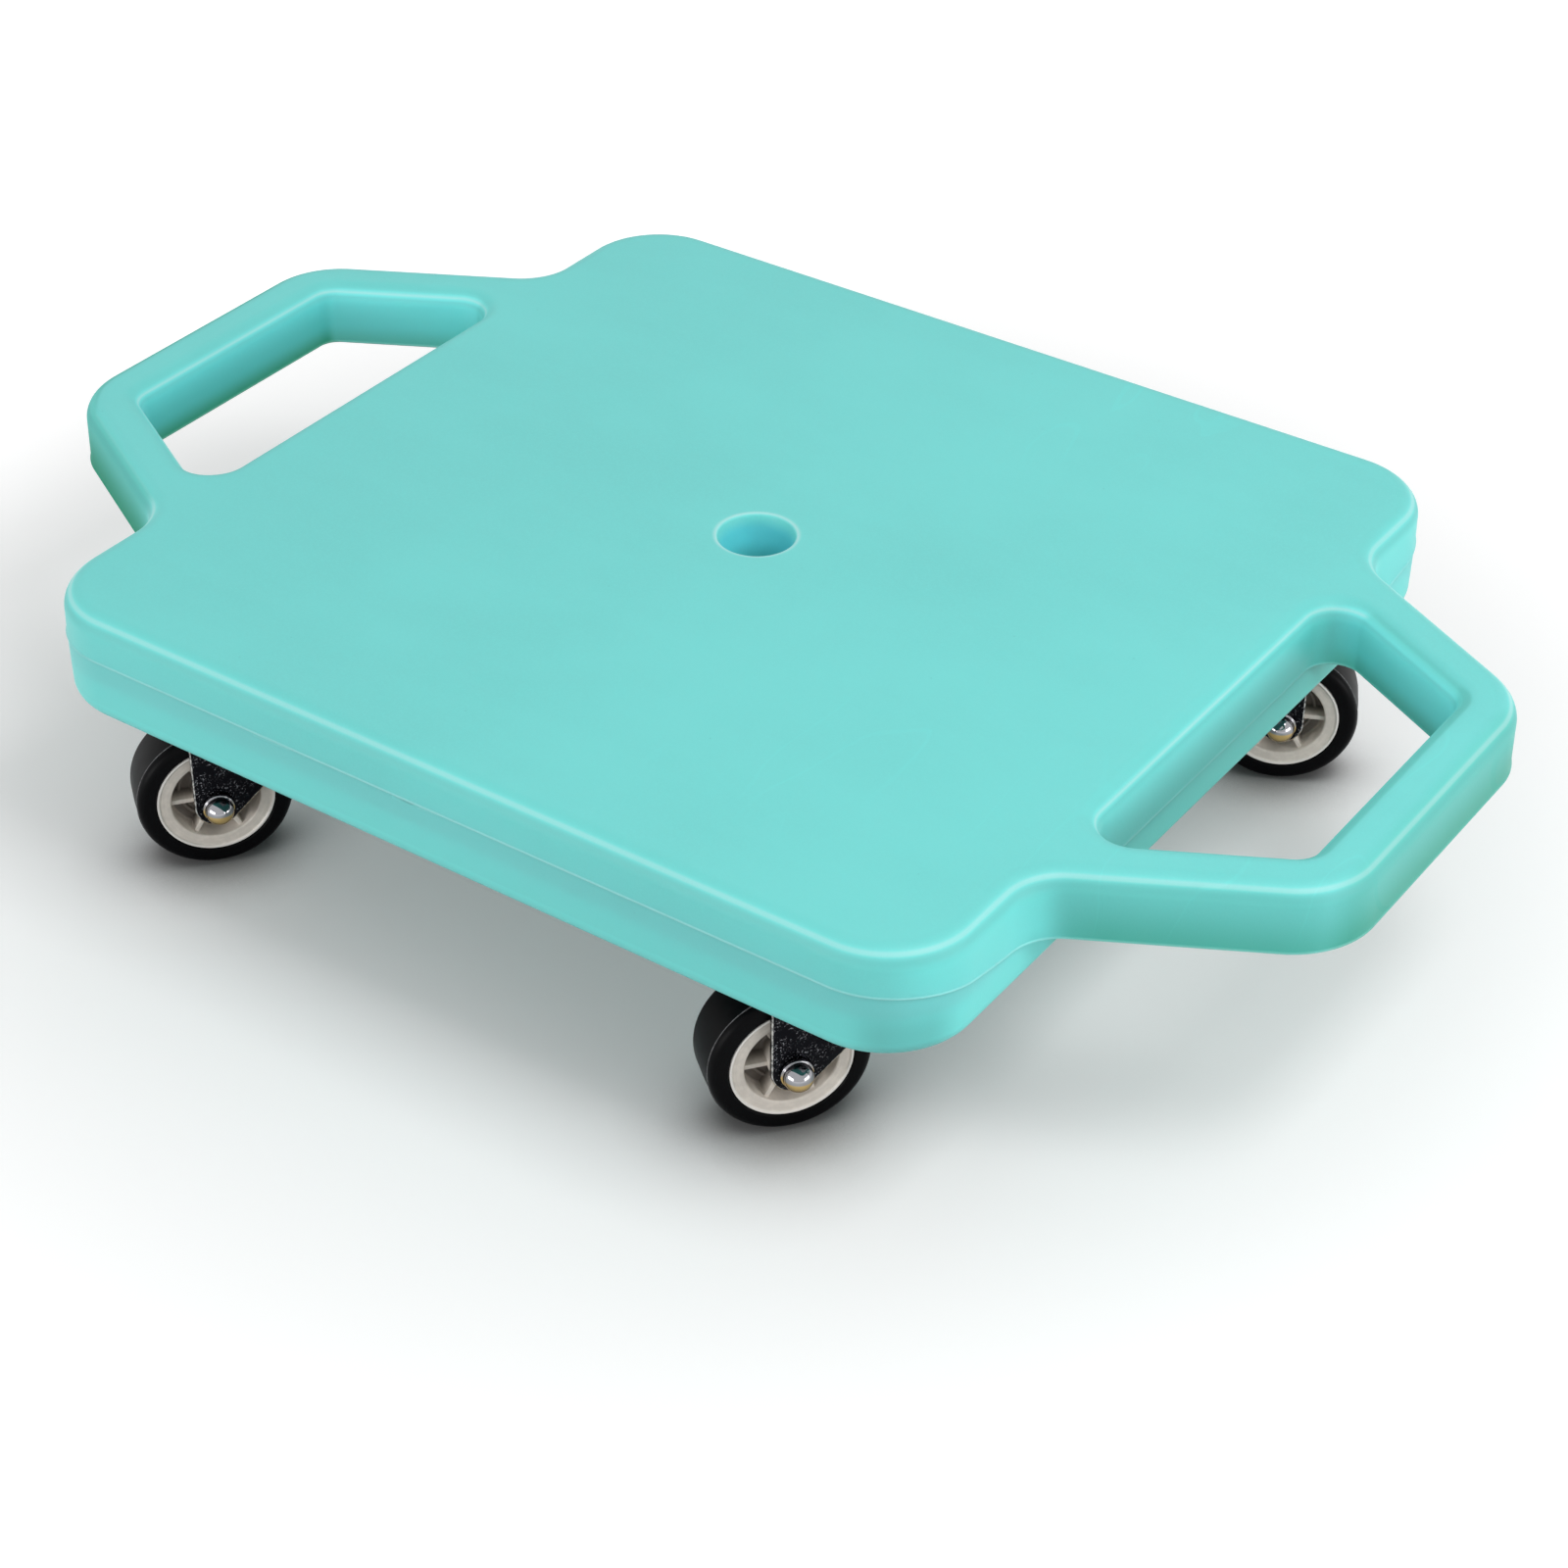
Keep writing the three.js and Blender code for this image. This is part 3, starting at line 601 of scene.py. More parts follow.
def moulded_plastic(colours):
    """Satin moulded plastic: fine grain, faint flow marks, a few specks and hairline scuffs, with painted
    light and shade on its walls and a painted highlight along its rounded edges.
    """
    shader = Shader("moulded plastic")
    base = colours.deck
    cloud = shader.noise(11.0, 3.0)
    flow = shader.noise(22.0, 3.0, 0.6, (0.7, 1.8, 1.0))
    grain = shader.noise(1500.0, 2.0, 0.6)
    specks = shader.specks(85.0, 0.035)
    scuffs = shader.scratches(16.0, 0.012, (3.0, 0.8, 1.0)) * shader.noise(7.0).ramp(0.56, 0.7)
    shade = (cloud * 0.7 + flow * 0.3).ramp(0.3, 0.7)
    # Shares of the painted edge highlight and shade, stored on the deck's rings; they also change the
    # roughness a little
    edge_light = shader.node("ShaderNodeAttribute", {"attribute_name": "edge_light_shares"}, None, "Fac")
    on_bar = shader.off_middle("X").ramp(*BAR_START) * shader.off_middle("Y").fall(*LOOP_SIDES)
    # Loop bars that face -X: they get painted shade, a rougher surface and less painted edge highlight
    lee = on_bar * shader.facing("X", -1.0).ramp(0.15, 0.35)
    colour = shader.painted(
        tone(base, 0.955), (shade, tone(base, 1.03)), (grain.ramp(0.35, 0.75) * 0.35, tone(base, 1.06)),
        (specks * 0.3, tone(base, 0.72)), (scuffs * 0.22, tone(base, 1.15)),
        # Painted light and shade on the walls, loops, hand openings and rope hole
        *painted_wall_light_and_shade(shader, base, on_bar, lee),
        # Painted shade beside the rounded edges, and a painted highlight along them, the flash and the rope
        # hole's mouth
        (edge_light * -0.5, tone(base, 0.6)), (edge_light * (1.0 - lee) * 0.34, PAINTED_EDGE_HIGHLIGHT),
    )
    rough = 0.42 + cloud * 0.09 + scuffs * 0.08 - edge_light * 0.06 + lee * 0.28
    return shader.surface({
        "Base Color": colour, "Roughness": rough, "Normal": shader.bump(grain + scuffs * -0.4, 0.00006, 0.5),
        "Subsurface Weight": 0.35, "Subsurface Radius": (0.55, 1.0, 0.9), "Subsurface Scale": 0.006,
        "Specular IOR Level": 0.32,
    })


def painted_wall_light_and_shade(shader, base, on_bar, lee):
    """Layers of painted light and shade for the deck's walls and loops, the hand openings and the rope hole.
    """
    height, along, across = shader.height(), shader.off_middle("X"), shader.off_middle("Y")
    right, front, down = shader.facing("X"), shader.facing("Y", -1.0), shader.facing("Z", -1.0)
    to_front = front.ramp(0.4, 0.8)
    on_loop = along.ramp(*LOOP_START) * across.fall(*LOOP_SIDES)
    inside = (across + along * SLANT).fall(*SLANTED_SIDES) * along.fall(*BAR_OUTSIDE)
    # Surfaces just under the flash that face a little down get painted light
    overhang = down.ramp(0.0, 0.02) * down.fall(0.3, 0.6)
    end_wall = (1.0 - on_bar) * right.ramp(0.5, 0.9) * height.fall(0.028, 0.034)
    depth = on_loop * inside * height.fall(0.012, 0.03)
    low = height.fall(0.0, 0.018) * 0.08 + along.ramp(*LOOP_END) * 0.5
    low = low + on_bar * (1.0 - inside) * (height.fall(0.013, 0.03) * 0.6 + to_front * 0.2)
    low = low + depth * (0.4 + on_bar * (0.45 - to_front * 0.4))
    # The seat's lower front corners get painted shade
    corner = right.ramp(0.15, 0.55) * front.ramp(0.15, 0.55) * height.fall(0.008, 0.02) * (1.0 - on_loop)
    upper = on_bar * inside * height.ramp(0.014, 0.022) * height.fall(*NEAR_TOP)
    in_hole = shader.from_axis((1.0, 1.0, 0.0)).fall(*HOLE_RADII) * height.fall(*NEAR_TOP)
    return [
        # Painted light under the flash, on the end walls, on the openings' upper and front-facing walls and
        # in the rope hole; painted shade low on the walls, at the openings' foot, in the lower corners, on
        # the lee side and deep in the hole
        (overhang, tone(base, 1.1)), (end_wall * 0.35, PAINTED_WALL_LIGHT), (low, PAINTED_LOW_SHADE),
        (depth * on_bar * 0.5, PAINTED_OPENING_SHADE), (corner * 0.42, tone(base, 0.5)),
        (lee * (0.25 + height.fall(0.011, 0.033) * 0.7), PAINTED_LEE_SHADE), (upper * 0.6, PAINTED_OPENING_LIGHT),
        (on_bar * inside * to_front * 0.35, PAINTED_FRONT_WALL_LIGHT), (in_hole * 0.5, PAINTED_HOLE_LIGHT),
        (in_hole * height.fall(0.019, 0.028) * 0.7, PAINTED_HOLE_SHADE),
    ]


def wheel_rubber(colours):
    """Black rubber: shiny moulded sides, a slightly dusty tread and fine turning marks."""
    shader = Shader("wheel rubber")
    base = colours.tyre
    away = shader.from_axis()
    dust_and_sheen = shader.noise(260.0, 4.0, 0.6)
    tread = away.ramp(0.0222, 0.0236)
    rings = shader.rings(9000.0)
    colour = shader.blend(dust_and_sheen.ramp(0.5, 0.8) * (0.1 + tread * 0.15), base, (0.01, 0.01, 0.011))
    rough = 0.24 + dust_and_sheen * 0.14 + tread * 0.06
    normal = shader.bump(dust_and_sheen * 0.7 + rings * 0.12, 0.00004, 0.5)
    return shader.surface({
        "Base Color": colour, "Roughness": rough, "Normal": normal, "Specular IOR Level": 0.05,
    })


def rubber_flash():
    """The mould line round the tread, painted pale in noisy patches as a highlight."""
    shader = Shader("rubber mould line")
    dust_and_sheen = shader.noise(900.0, 3.0)
    # Painted highlight: pale grey, fading in noisy patches
    colour = shader.blend(dust_and_sheen.ramp(0.35, 0.65), (0.045, 0.045, 0.047), (0.14, 0.14, 0.145))
    return shader.surface({"Base Color": colour, "Roughness": 0.45 + dust_and_sheen * 0.2})


def hub_plastic(colours):
    """Off-white hub plastic with turning marks on the face of the rim, painted shade in the recess and a
    painted highlight on the lip.
    """
    shader = Shader("hub plastic")
    base = colours.hub
    away = shader.from_axis()
    rings = shader.rings(5200.0)
    mottle = shader.noise(420.0, 3.0)
    # Painted shade in the recess between boss and rim
    recess = shader.off_middle("X").fall(0.0015, 0.0075) * away.fall(0.0128, 0.0137)
    # Painted highlight on the rim's lip
    lip = away.ramp(0.0168, 0.0173)
    colour = shader.painted(
        tone(base, 0.93), (mottle.ramp(0.35, 0.7), tone(base, 1.05)),
        (rings.ramp(0.2, 1.0) * 0.22, tone(base, 0.86)), (recess * 0.85, (0.075, 0.06, 0.05)),
        (lip * 0.8, (0.93, 0.9, 0.86)),
    )
    normal = shader.bump(rings * 0.25 + mottle * 0.6, 0.00005, 0.5)
    return shader.surface({"Base Color": colour, "Roughness": 0.34 + mottle * 0.14, "Normal": normal})


def black_chrome(colours):
    """Black chrome: mirror-like, with pin-sized specks and smudges."""
    shader = Shader("black chrome")
    specks = shader.noise(1500.0, 4.0, 0.7).ramp(0.55, 0.66) * shader.noise(240.0).ramp(0.4, 0.56)
    dust_and_sheen = shader.noise(500.0, 3.0)
    colour = shader.blend(specks * 0.6, colours.fork, (0.4, 0.4, 0.43))
    rough = 0.12 + dust_and_sheen * 0.1 + specks * 0.25
    return shader.metal(colour, rough, shader.bump(specks + dust_and_sheen * 0.3, 0.00003, 0.6))


def painted_highlight_edge(colours):
    """Edges of the black chrome: a painted highlight, brighter in patches, and a painted warm reflection,
    yellowish, where they face down.
    """
    shader = Shader("rubbed chrome edge")
    edge_highlight_patches = shader.noise(700.0, 3.0)
    down = shader.facing("Z", -1.0).ramp(0.1, 0.5)
    # Painted highlight on the bevelled edges, and a painted warm reflection where they face down
    colour = shader.painted(
        (0.12, 0.12, 0.125), (edge_highlight_patches.ramp(0.35, 0.6), (0.55, 0.54, 0.52)), (down, colours.warm_reflection_tint),
    )
    return shader.metal(colour, 0.2 + edge_highlight_patches * 0.15, shader.bump(edge_highlight_patches, 0.00002, 0.5))


def bright_chrome(colours):
    """Polished chrome with faint polishing haze, and a painted warm reflection, yellowish, where it faces
    down.
    """
    shader = Shader("bright chrome")
    haze = shader.noise(600.0, 3.0)
    # Where the nut faces down it gets a painted warm reflection
    down = shader.facing("Z", -1.0).ramp(-0.12, 0.02)
    colour = shader.painted(
        colours.chrome, (haze.ramp(0.4, 0.75) * 0.25, tone(colours.chrome, 0.7)), (down, colours.warm_reflection_tint),
    )
    return shader.metal(colour, 0.05 + haze * 0.07, shader.bump(haze, 0.00001, 0.4))


def zinc_plate(colours):
    """Zinc plating on pressed sheet: crystalline patches and fine brushing."""
    shader = Shader("zinc plating")
    base = colours.zinc
    patches = shader.noise(300.0, 4.0, 0.7)
    brushing = shader.noise(900.0, 2.0, 0.6, (0.15, 3.0, 1.0))
    colour = shader.blend(patches.ramp(0.35, 0.7), tone(base, 0.8), tone(base, 1.12))
    return shader.metal(colour, 0.24 + patches * 0.2, shader.bump(brushing + patches * 0.5, 0.00003, 0.5))


def bare_steel(colours):
    """Plain steel with turning marks and a little oil staining."""
    shader = Shader("bare steel")
    base = colours.steel
    stain = shader.noise(450.0, 4.0, 0.7)
    marks = shader.noise(1300.0, 2.0, 0.6, (0.2, 0.2, 4.0))
    colour = shader.blend(stain.ramp(0.4, 0.72), base, tone(base, 0.6))
    return shader.metal(colour, 0.26 + stain * 0.22, shader.bump(marks + stain * 0.5, 0.00002, 0.5))


# Deck ----------------------------------------------------------------------------------------


class DeckForm:
    """Outlines and heights of the deck, over its underside."""

    def __init__(self, sizes):
        self.sizes = sizes
        self.half_length = sizes.seat_length / 2
        self.half_width = DECK_HIGH.y
        self.loop_end = DECK_HIGH.x
        self.thickness = DECK_HIGH.z - DECK_LOW.z
        self.loop_bottom = self.thickness - sizes.loop_thickness
        self.root = sizes.loop_root_width / 2
        self.end = sizes.loop_end_width / 2

    def outside(self):
        """Corners of the seat and both loops."""
        size = self.sizes
        right = [
            (self.half_length, -self.half_width, size.corner_radius, 22),
            (self.half_length, -self.root, size.loop_root_radius, 12),
            (self.loop_end, -self.end, size.loop_corner_radius, 18),
            (self.loop_end, self.end, size.loop_corner_radius, 18),
            (self.half_length, self.root, size.loop_root_radius, 12),
            (self.half_length, self.half_width, size.corner_radius, 22),
        ]
        return right + half_turn(right)

    def seat(self):
        """Corners of the seat alone."""
        right = [
            (self.half_length, -self.half_width, self.sizes.corner_radius, 22),
            (self.half_length, self.half_width, self.sizes.corner_radius, 22),
        ]
        return right + half_turn(right)

    def opening(self):
        """Corners of the right hand opening, with a bar of the grip's width round it."""
        slope = (self.root - self.end) / (self.loop_end - self.half_length)
        across = self.sizes.grip_width * math.hypot(1.0, slope)
        outer = self.loop_end - self.sizes.grip_width
        near = self.root - across
        far = self.root - slope * (outer - self.half_length) - across
        return [
            (self.half_length, -near, 9 * MM, 14),
            (outer, -far, 7 * MM, 10),
            (outer, far, 7 * MM, 10),
            (self.half_length, near, 9 * MM, 14),
        ]

    def parting(self, point):
        """Height of the parting line: low under the loops, higher along the sides."""
        share = min(1.0, max(0.0, (abs(point.y) - self.root) / (self.half_width - self.root)))
        rise = self.sizes.loop_thickness - self.sizes.side_parting_depth
        return self.loop_bottom + rise * share * share * (3 - 2 * share)

    def over_parting(self, above):
        """Height over the parting line, as a function of a point."""
        return lambda point: self.parting(point) + above

    def hole_walls(self):
        """The rope hole's wall as (radius, height): the part below the loops' underside and the rest."""
        mouth, neck, edge = self.sizes.hole_mouth / 2, self.sizes.hole_neck / 2, self.sizes.hole_edge
        points = soften([
            (mouth + edge, 0.0), (mouth, 0.0, edge), (neck, self.thickness / 2, 6 * MM),
            (mouth, self.thickness, edge), (mouth + edge, self.thickness),
        ], steps=8)
        k = next(i for i, point in enumerate(points) if point.y > self.loop_bottom)
        share = (self.loop_bottom - points[k - 1].y) / (points[k].y - points[k - 1].y)
        meeting = points[k - 1].lerp(points[k], share)
        return [*points[:k], meeting + Vector((0.05 * MM, 0.1 * MM))], [meeting, *points[k:]]


def add_hole(bm, profile, x=0.0, y=0.0, sides=72, edge_light_shares=None):
    """Adds the wall of a round hole and returns its first and last ring."""
    rings = loft(bm, [circle(radius, height, sides, x, y) for radius, height in profile], edge_light_shares)
    return rings[0], rings[-1]


OVERLAP = 1.2 * MM  # how far the two halves and their flats reach in behind an edge
FLASH_FADE = 0.18 * MM  # how much the wall draws in from the flash up to the rounded edge
EDGE_STEPS = 12

# Shares of a painted highlight (below zero, painted shade), which also change the roughness a little: on the
# rings of the flash, on the rounded edges from wall to flat as sums of bells (share, place, width), and on
# the last rings of the rope hole, at its mouth.
FLASH_LIGHT = [0.35, 0.5, 0.35, 0.18, 0.0]
OUTER_EDGE_LIGHT = ((1.1, 0.54, 0.09), (-0.8, 0.3, 0.18), (-0.3, 0.78, 0.2))
RIM_EDGE_LIGHT = ((1.25, 0.42, 0.08), (-0.55, 0.25, 0.12), (-0.45, 0.66, 0.24))
MOUTH_EDGE_LIGHT = [0.3, 0.6, 0.9, 1.0, 1.0, 0.8, 0.0]


def edge_light_bells(bells):
    """Shares of painted highlight and shade for the rings of a rounded edge, from its wall to its flat."""
    ways = [k / EDGE_STEPS for k in range(EDGE_STEPS + 1)]
    return [sum(share * math.exp(-((way - place) / width) ** 2) for share, place, width in bells)
            for way in ways]


def upper_wall(bm, form, corners, radius, margin, bells, foot=(), way=1.0):
    """Wall of the upper half, from the flash at its foot to a margin on the flat. An opening's way is -1."""
    flash = form.sizes.flash_height
    start = form.thickness - radius
    wall = flash + FLASH_FADE
    under = [(OVERLAP, 0.0), (0.75 * MM, 0.04 * MM), (0.45 * MM, 0.18 * MM), (flash, 0.36 * MM)]
    ridge = [(0.04 * MM, 0.52 * MM), (0.0, 0.6 * MM), (0.04 * MM, 0.68 * MM), (flash, 0.98 * MM),
             (flash + 0.003 * MM, 1.2 * MM)]
    places = [*foot, *((inset, form.over_parting(above)) for inset, above in under + ridge)]
    places.append((wall, start - 1.2 * MM))
    places += round_edge(radius, wall, start, form.thickness, EDGE_STEPS)
    places.append((wall + radius + margin, form.thickness))
    # Painted highlight on the flash and along the rounded edge
    edge_light_shares = [0.0] * (len(foot) + len(under)) + FLASH_LIGHT + [0.0] + edge_light_bells(bells) + [0.0]
    return loft(bm, [ring(corners, way * inset, height) for inset, height in places], edge_light_shares)


def upper_deck(bm, form):
    """Upper half of the moulding with both loops, closed below the parting line."""
    size = form.sizes
    foot = [(OVERLAP, form.loop_bottom)]
    outer = upper_wall(bm, form, form.outside(), size.top_edge, OVERLAP, OUTER_EDGE_LIGHT, foot)
    openings = [upper_wall(bm, form, corners, size.opening_edge, 1.0 * MM, RIM_EDGE_LIGHT, way=-1.0)
                for corners in (form.opening(), half_turn(form.opening()))]
    points = form.hole_walls()[1]
    # Painted highlight round the rope hole's mouth
    shares = [0.0] * (len(points) - len(MOUTH_EDGE_LIGHT)) + MOUTH_EDGE_LIGHT
    low, high = add_hole(bm, points, edge_light_shares=shares)
    cap(bm, outer[-1], [*(opening[-1] for opening in openings), high])
    cap(bm, outer[0], [*(opening[0] for opening in openings), low])
    bmesh.ops.remove_doubles(bm, verts=bm.verts[:], dist=SAME_PLACE)


def lower_deck(bm, form):
    """Lower half of the moulding: the seat's box with the tack-off cones, closed above the parting line."""
    size = form.sizes
    wall = size.flash_height + 0.07 * MM
    foot = wall + 0.2 * MM
    places = [(foot + size.bottom_edge + OVERLAP, 0.0)]
    places += reversed(round_edge(size.bottom_edge, foot, size.bottom_edge, 0.0, 10))
    places.append((foot - 0.01 * MM, size.bottom_edge + 1.0 * MM))
    places += [(wall, form.over_parting(above)) for above in (-1.0 * MM, 0.34 * MM)]
    outer = loft(bm, [ring(form.seat(), inset, height) for inset, height in places])
    low, high = add_hole(bm, form.hole_walls()[0])
    mouth, floor = size.cone_mouth / 2, size.cone_floor / 2
    profile = soften([(mouth + 1.5 * MM, 0.0), (mouth, 0.0, 1.5 * MM), (floor, size.cone_depth, 2.5 * MM),
                      (0.2 * MM, size.cone_depth)])
    cones = []
    for column in (-1, 0, 1):
        for row in (-1, 0, 1):
            if column or row:
                first, last = add_hole(bm, profile, column * size.cone_pitch, row * size.cone_pitch, 36)
                cones.append(first)
                cap(bm, last)
    cap(bm, outer[0], [low, *cones])
    cap(bm, outer[-1], [high])


class BOARD_OT_deck(Operator):
    """Adds the moulded deck"""

    bl_idname = "board.deck"
    bl_label = "Deck"

    def execute(self, context):
        form = DeckForm(context.scene.board_deck)
        bm = bmesh.new()
        # Shares of the painted edge highlight on the deck's rings
        bm.verts.layers.float.new("edge_light_shares")
        upper_deck(bm, form)
        lower_deck(bm, form)
        mesh = to_mesh("deck_moulding", bm, moulded_plastic(context.scene.board_colours), sharp=60)
        put("deck_moulding", mesh, "board", ["deck"], Matrix.Translation((0.0, 0.0, DECK_LOW.z)))
        return {"FINISHED"}


# Casters -------------------------------------------------------------------------------------

SEAT = 0.3 * MM  # gap between two pieces that rest on each other
RACE_DEPTH = 1.7 * MM
RACE_WIDTH = 5 * MM
SCREW_TWIST = 0.7  # turn of a screw against the one before it


class CasterForm:
    """Heights of a caster's pieces under the deck, and places on its axle."""

    def __init__(self, sizes):
        self.sizes = sizes
        self.plate_bottom = -SEAT - sizes.plate_thickness
        self.race_bottom = self.plate_bottom - RACE_DEPTH
        self.ball_centre = self.race_bottom - SEAT - sizes.ball / 2
        self.crown_top = self.race_bottom - SEAT - sizes.ball - SEAT
        self.crown_bottom = self.crown_top - sizes.sheet
        self.cap_top = self.crown_bottom - SEAT
        self.leg_inside = sizes.boss_length / 2 + 0.5 * MM
        self.leg_outside = self.leg_inside + sizes.sheet
        axle = turn_matrix(CASTERS[0]).inverted() @ Vector(JOINTS["wheel_front_right_roll"]["pos_m"])
        self.axle = Vector((0.0, axle.y, axle.z))
        self.nut_seat = self.leg_outside + SEAT


class BOARD_OT_plates(Operator):
    """Adds the mounting plates and their screws"""

    bl_idname = "board.plates"
    bl_label = "Plates and screws"

    def execute(self, context):
        sizes = context.scene.board_casters
        colours = context.scene.board_colours
        form = CasterForm(sizes)
        plate = self.plate(form, zinc_plate(colours))
        put_on_casters("pressed_plate", plate, "board", "mount_plate", pivot_matrix)
        screw = self.screw(form, bare_steel(colours))
        half = sizes.screw_pitch / 2
        for caster in CASTERS:
            for i, (x, y) in enumerate(((half, -half), (-half, -half), (-half, half), (half, half)), 1):
                corner = Matrix.Translation((x, y, 0.0)) @ Matrix.Rotation(SCREW_TWIST * i, 4, "Z")
                spot = pivot_matrix(caster) @ corner
                put(f"pan_screw_{caster}_{i}", screw, "board", [f"plate_screw_{caster}_{i}"], spot)
        return {"FINISHED"}

    @staticmethod
    def plate(form, finish):
        """Rounded square sheet with a pressed ball race under it."""
        sizes = form.sizes
        half = sizes.plate / 2
        right = [(half, -half, 6 * MM, 8), (half, half, 6 * MM, 8)]
        corners = right + half_turn(right)
        edge = 0.5 * MM
        places = list(reversed(round_edge(edge, 0.0, -SEAT, form.plate_bottom, 4)))
        places += round_edge(edge, 0.0, form.plate_bottom, -SEAT, 4)
        bm = bmesh.new()
        made = loft(bm, [ring(corners, inset, height) for inset, height in places])
        cap(bm, made[0])
        cap(bm, made[-1])
        inner = (sizes.ball_circle - RACE_WIDTH) / 2
        outer = (sizes.ball_circle + RACE_WIDTH) / 2
        turned(bm, [
            (inner, form.race_bottom, 0.5 * MM), (outer - 1.0 * MM, form.race_bottom, 1.2 * MM),
            (outer, form.plate_bottom + 0.1 * MM), (inner, form.plate_bottom + 0.1 * MM),
        ], 64, closed=True)
        return to_mesh("pressed_plate", bm, finish)

    @staticmethod
    def screw(form, finish):
        """Pan-head screw with a cross recess and a pointed shank."""
        top = form.plate_bottom - SEAT
        head = form.sizes.screw_head / 2
        bottom = top - 2.2 * MM
        mesh = turned_mesh("pan_screw", finish, [
            (0.0, bottom - 0.05 * MM), (head * 0.7, bottom + 0.1 * MM, 1.5 * MM),
            (head, top - 0.5 * MM, 0.5 * MM), (head, top, 0.15 * MM), (2 * MM, top, 0.2 * MM),
            (2 * MM, top + 10 * MM), (0.0, top + 14 * MM),
        ], 32)
        arms = []
        for turn in (0.0, math.pi / 2):
            arm = bmesh.new()
            place = Matrix.Rotation(turn, 4, "Z") @ Matrix.Translation((0.0, 0.0, bottom))
            size = Matrix.Diagonal((4.2 * MM, 0.9 * MM, 2.4 * MM, 1.0))
            bmesh.ops.create_cube(arm, size=1.0, matrix=place @ size)
            arms.append(plain_mesh("arm", arm))
        cut = carve(mesh, arms)
        bm = bmesh.new()
        bm.from_mesh(cut)
        bmesh.ops.dissolve_degenerate(bm, dist=SAME_PLACE, edges=bm.edges[:])
        bm.to_mesh(cut)
        bm.free()
        return cut


class BOARD_OT_swivels(Operator):
    """Adds the kingpins, ball rings and swivel caps"""

    bl_idname = "board.swivels"
    bl_label = "Swivel bearings"

    def execute(self, context):
        colours = context.scene.board_colours
        form = CasterForm(context.scene.board_casters)
        steel, zinc = bare_steel(colours), zinc_plate(colours)
        put_on_casters("shouldered_pin", self.kingpin(form, steel), "board", "kingpin", turn_matrix)
        balls, washer = self.ball_ring(form, steel), self.swivel_cap(form, zinc)
        put_on_casters("bearing_balls", balls, "swivel_{}", "ball_ring", turn_matrix)
        put_on_casters("dished_washer", washer, "swivel_{}", "swivel_cap", turn_matrix)
        return {"FINISHED"}

    @staticmethod
    def kingpin(form, finish):
        """Shouldered rivet with a domed head."""
        head_top = form.cap_top - 1.2 * MM - SEAT
        head_bottom = head_top - 2 * MM
        collar_bottom, collar_top = form.crown_top + SEAT, form.plate_bottom - SEAT
        return turned_mesh("shouldered_pin", finish, [
            (0.0, head_bottom), (3.4 * MM, head_bottom, 1.5 * MM),
            (5.5 * MM, head_bottom + 1.1 * MM, 0.8 * MM), (5.5 * MM, head_top, 0.2 * MM),
            (3.9 * MM, head_top), (3.9 * MM, collar_bottom), (6 * MM, collar_bottom, 0.2 * MM),
            (6 * MM, collar_top, 0.2 * MM), (3.9 * MM, collar_top), (3.9 * MM, -SEAT, 0.2 * MM), (0.0, -SEAT),
        ], 48)

    @staticmethod
    def ball_ring(form, finish):
        """Cage washer with its balls."""
        sizes = form.sizes
        middle = form.ball_centre
        inner, outer = (sizes.ball_circle - RACE_WIDTH) / 2, (sizes.ball_circle + sizes.ball / 2) / 2
        bm = bmesh.new()
        turned(bm, [(radius, middle + side * 0.4 * MM, 0.15 * MM)
                    for radius, side in ((inner, -1), (outer, -1), (outer, 1), (inner, 1))],
               64, closed=True, steps=2)
        for k in range(sizes.ball_count):
            spot = Matrix.Rotation(2 * math.pi * k / sizes.ball_count, 4, "Z")
            at = spot @ Matrix.Translation((sizes.ball_circle / 2, 0.0, middle))
            bmesh.ops.create_uvsphere(bm, u_segments=24, v_segments=14, radius=sizes.ball / 2, matrix=at)
        return to_mesh("bearing_balls", bm, finish)

    @staticmethod
    def swivel_cap(form, finish):
        """Dished washer under the crown."""
        top = form.cap_top
        return turned_mesh("dished_washer", finish, [
            (4.2 * MM, top - 1.2 * MM, 0.2 * MM), (8.4 * MM, top - 1.2 * MM, 1.0 * MM),
            (10 * MM, top - 0.3 * MM, 0.3 * MM), (10 * MM, top, 0.1 * MM), (4.2 * MM, top, 0.2 * MM),
        ], 64, closed=True)


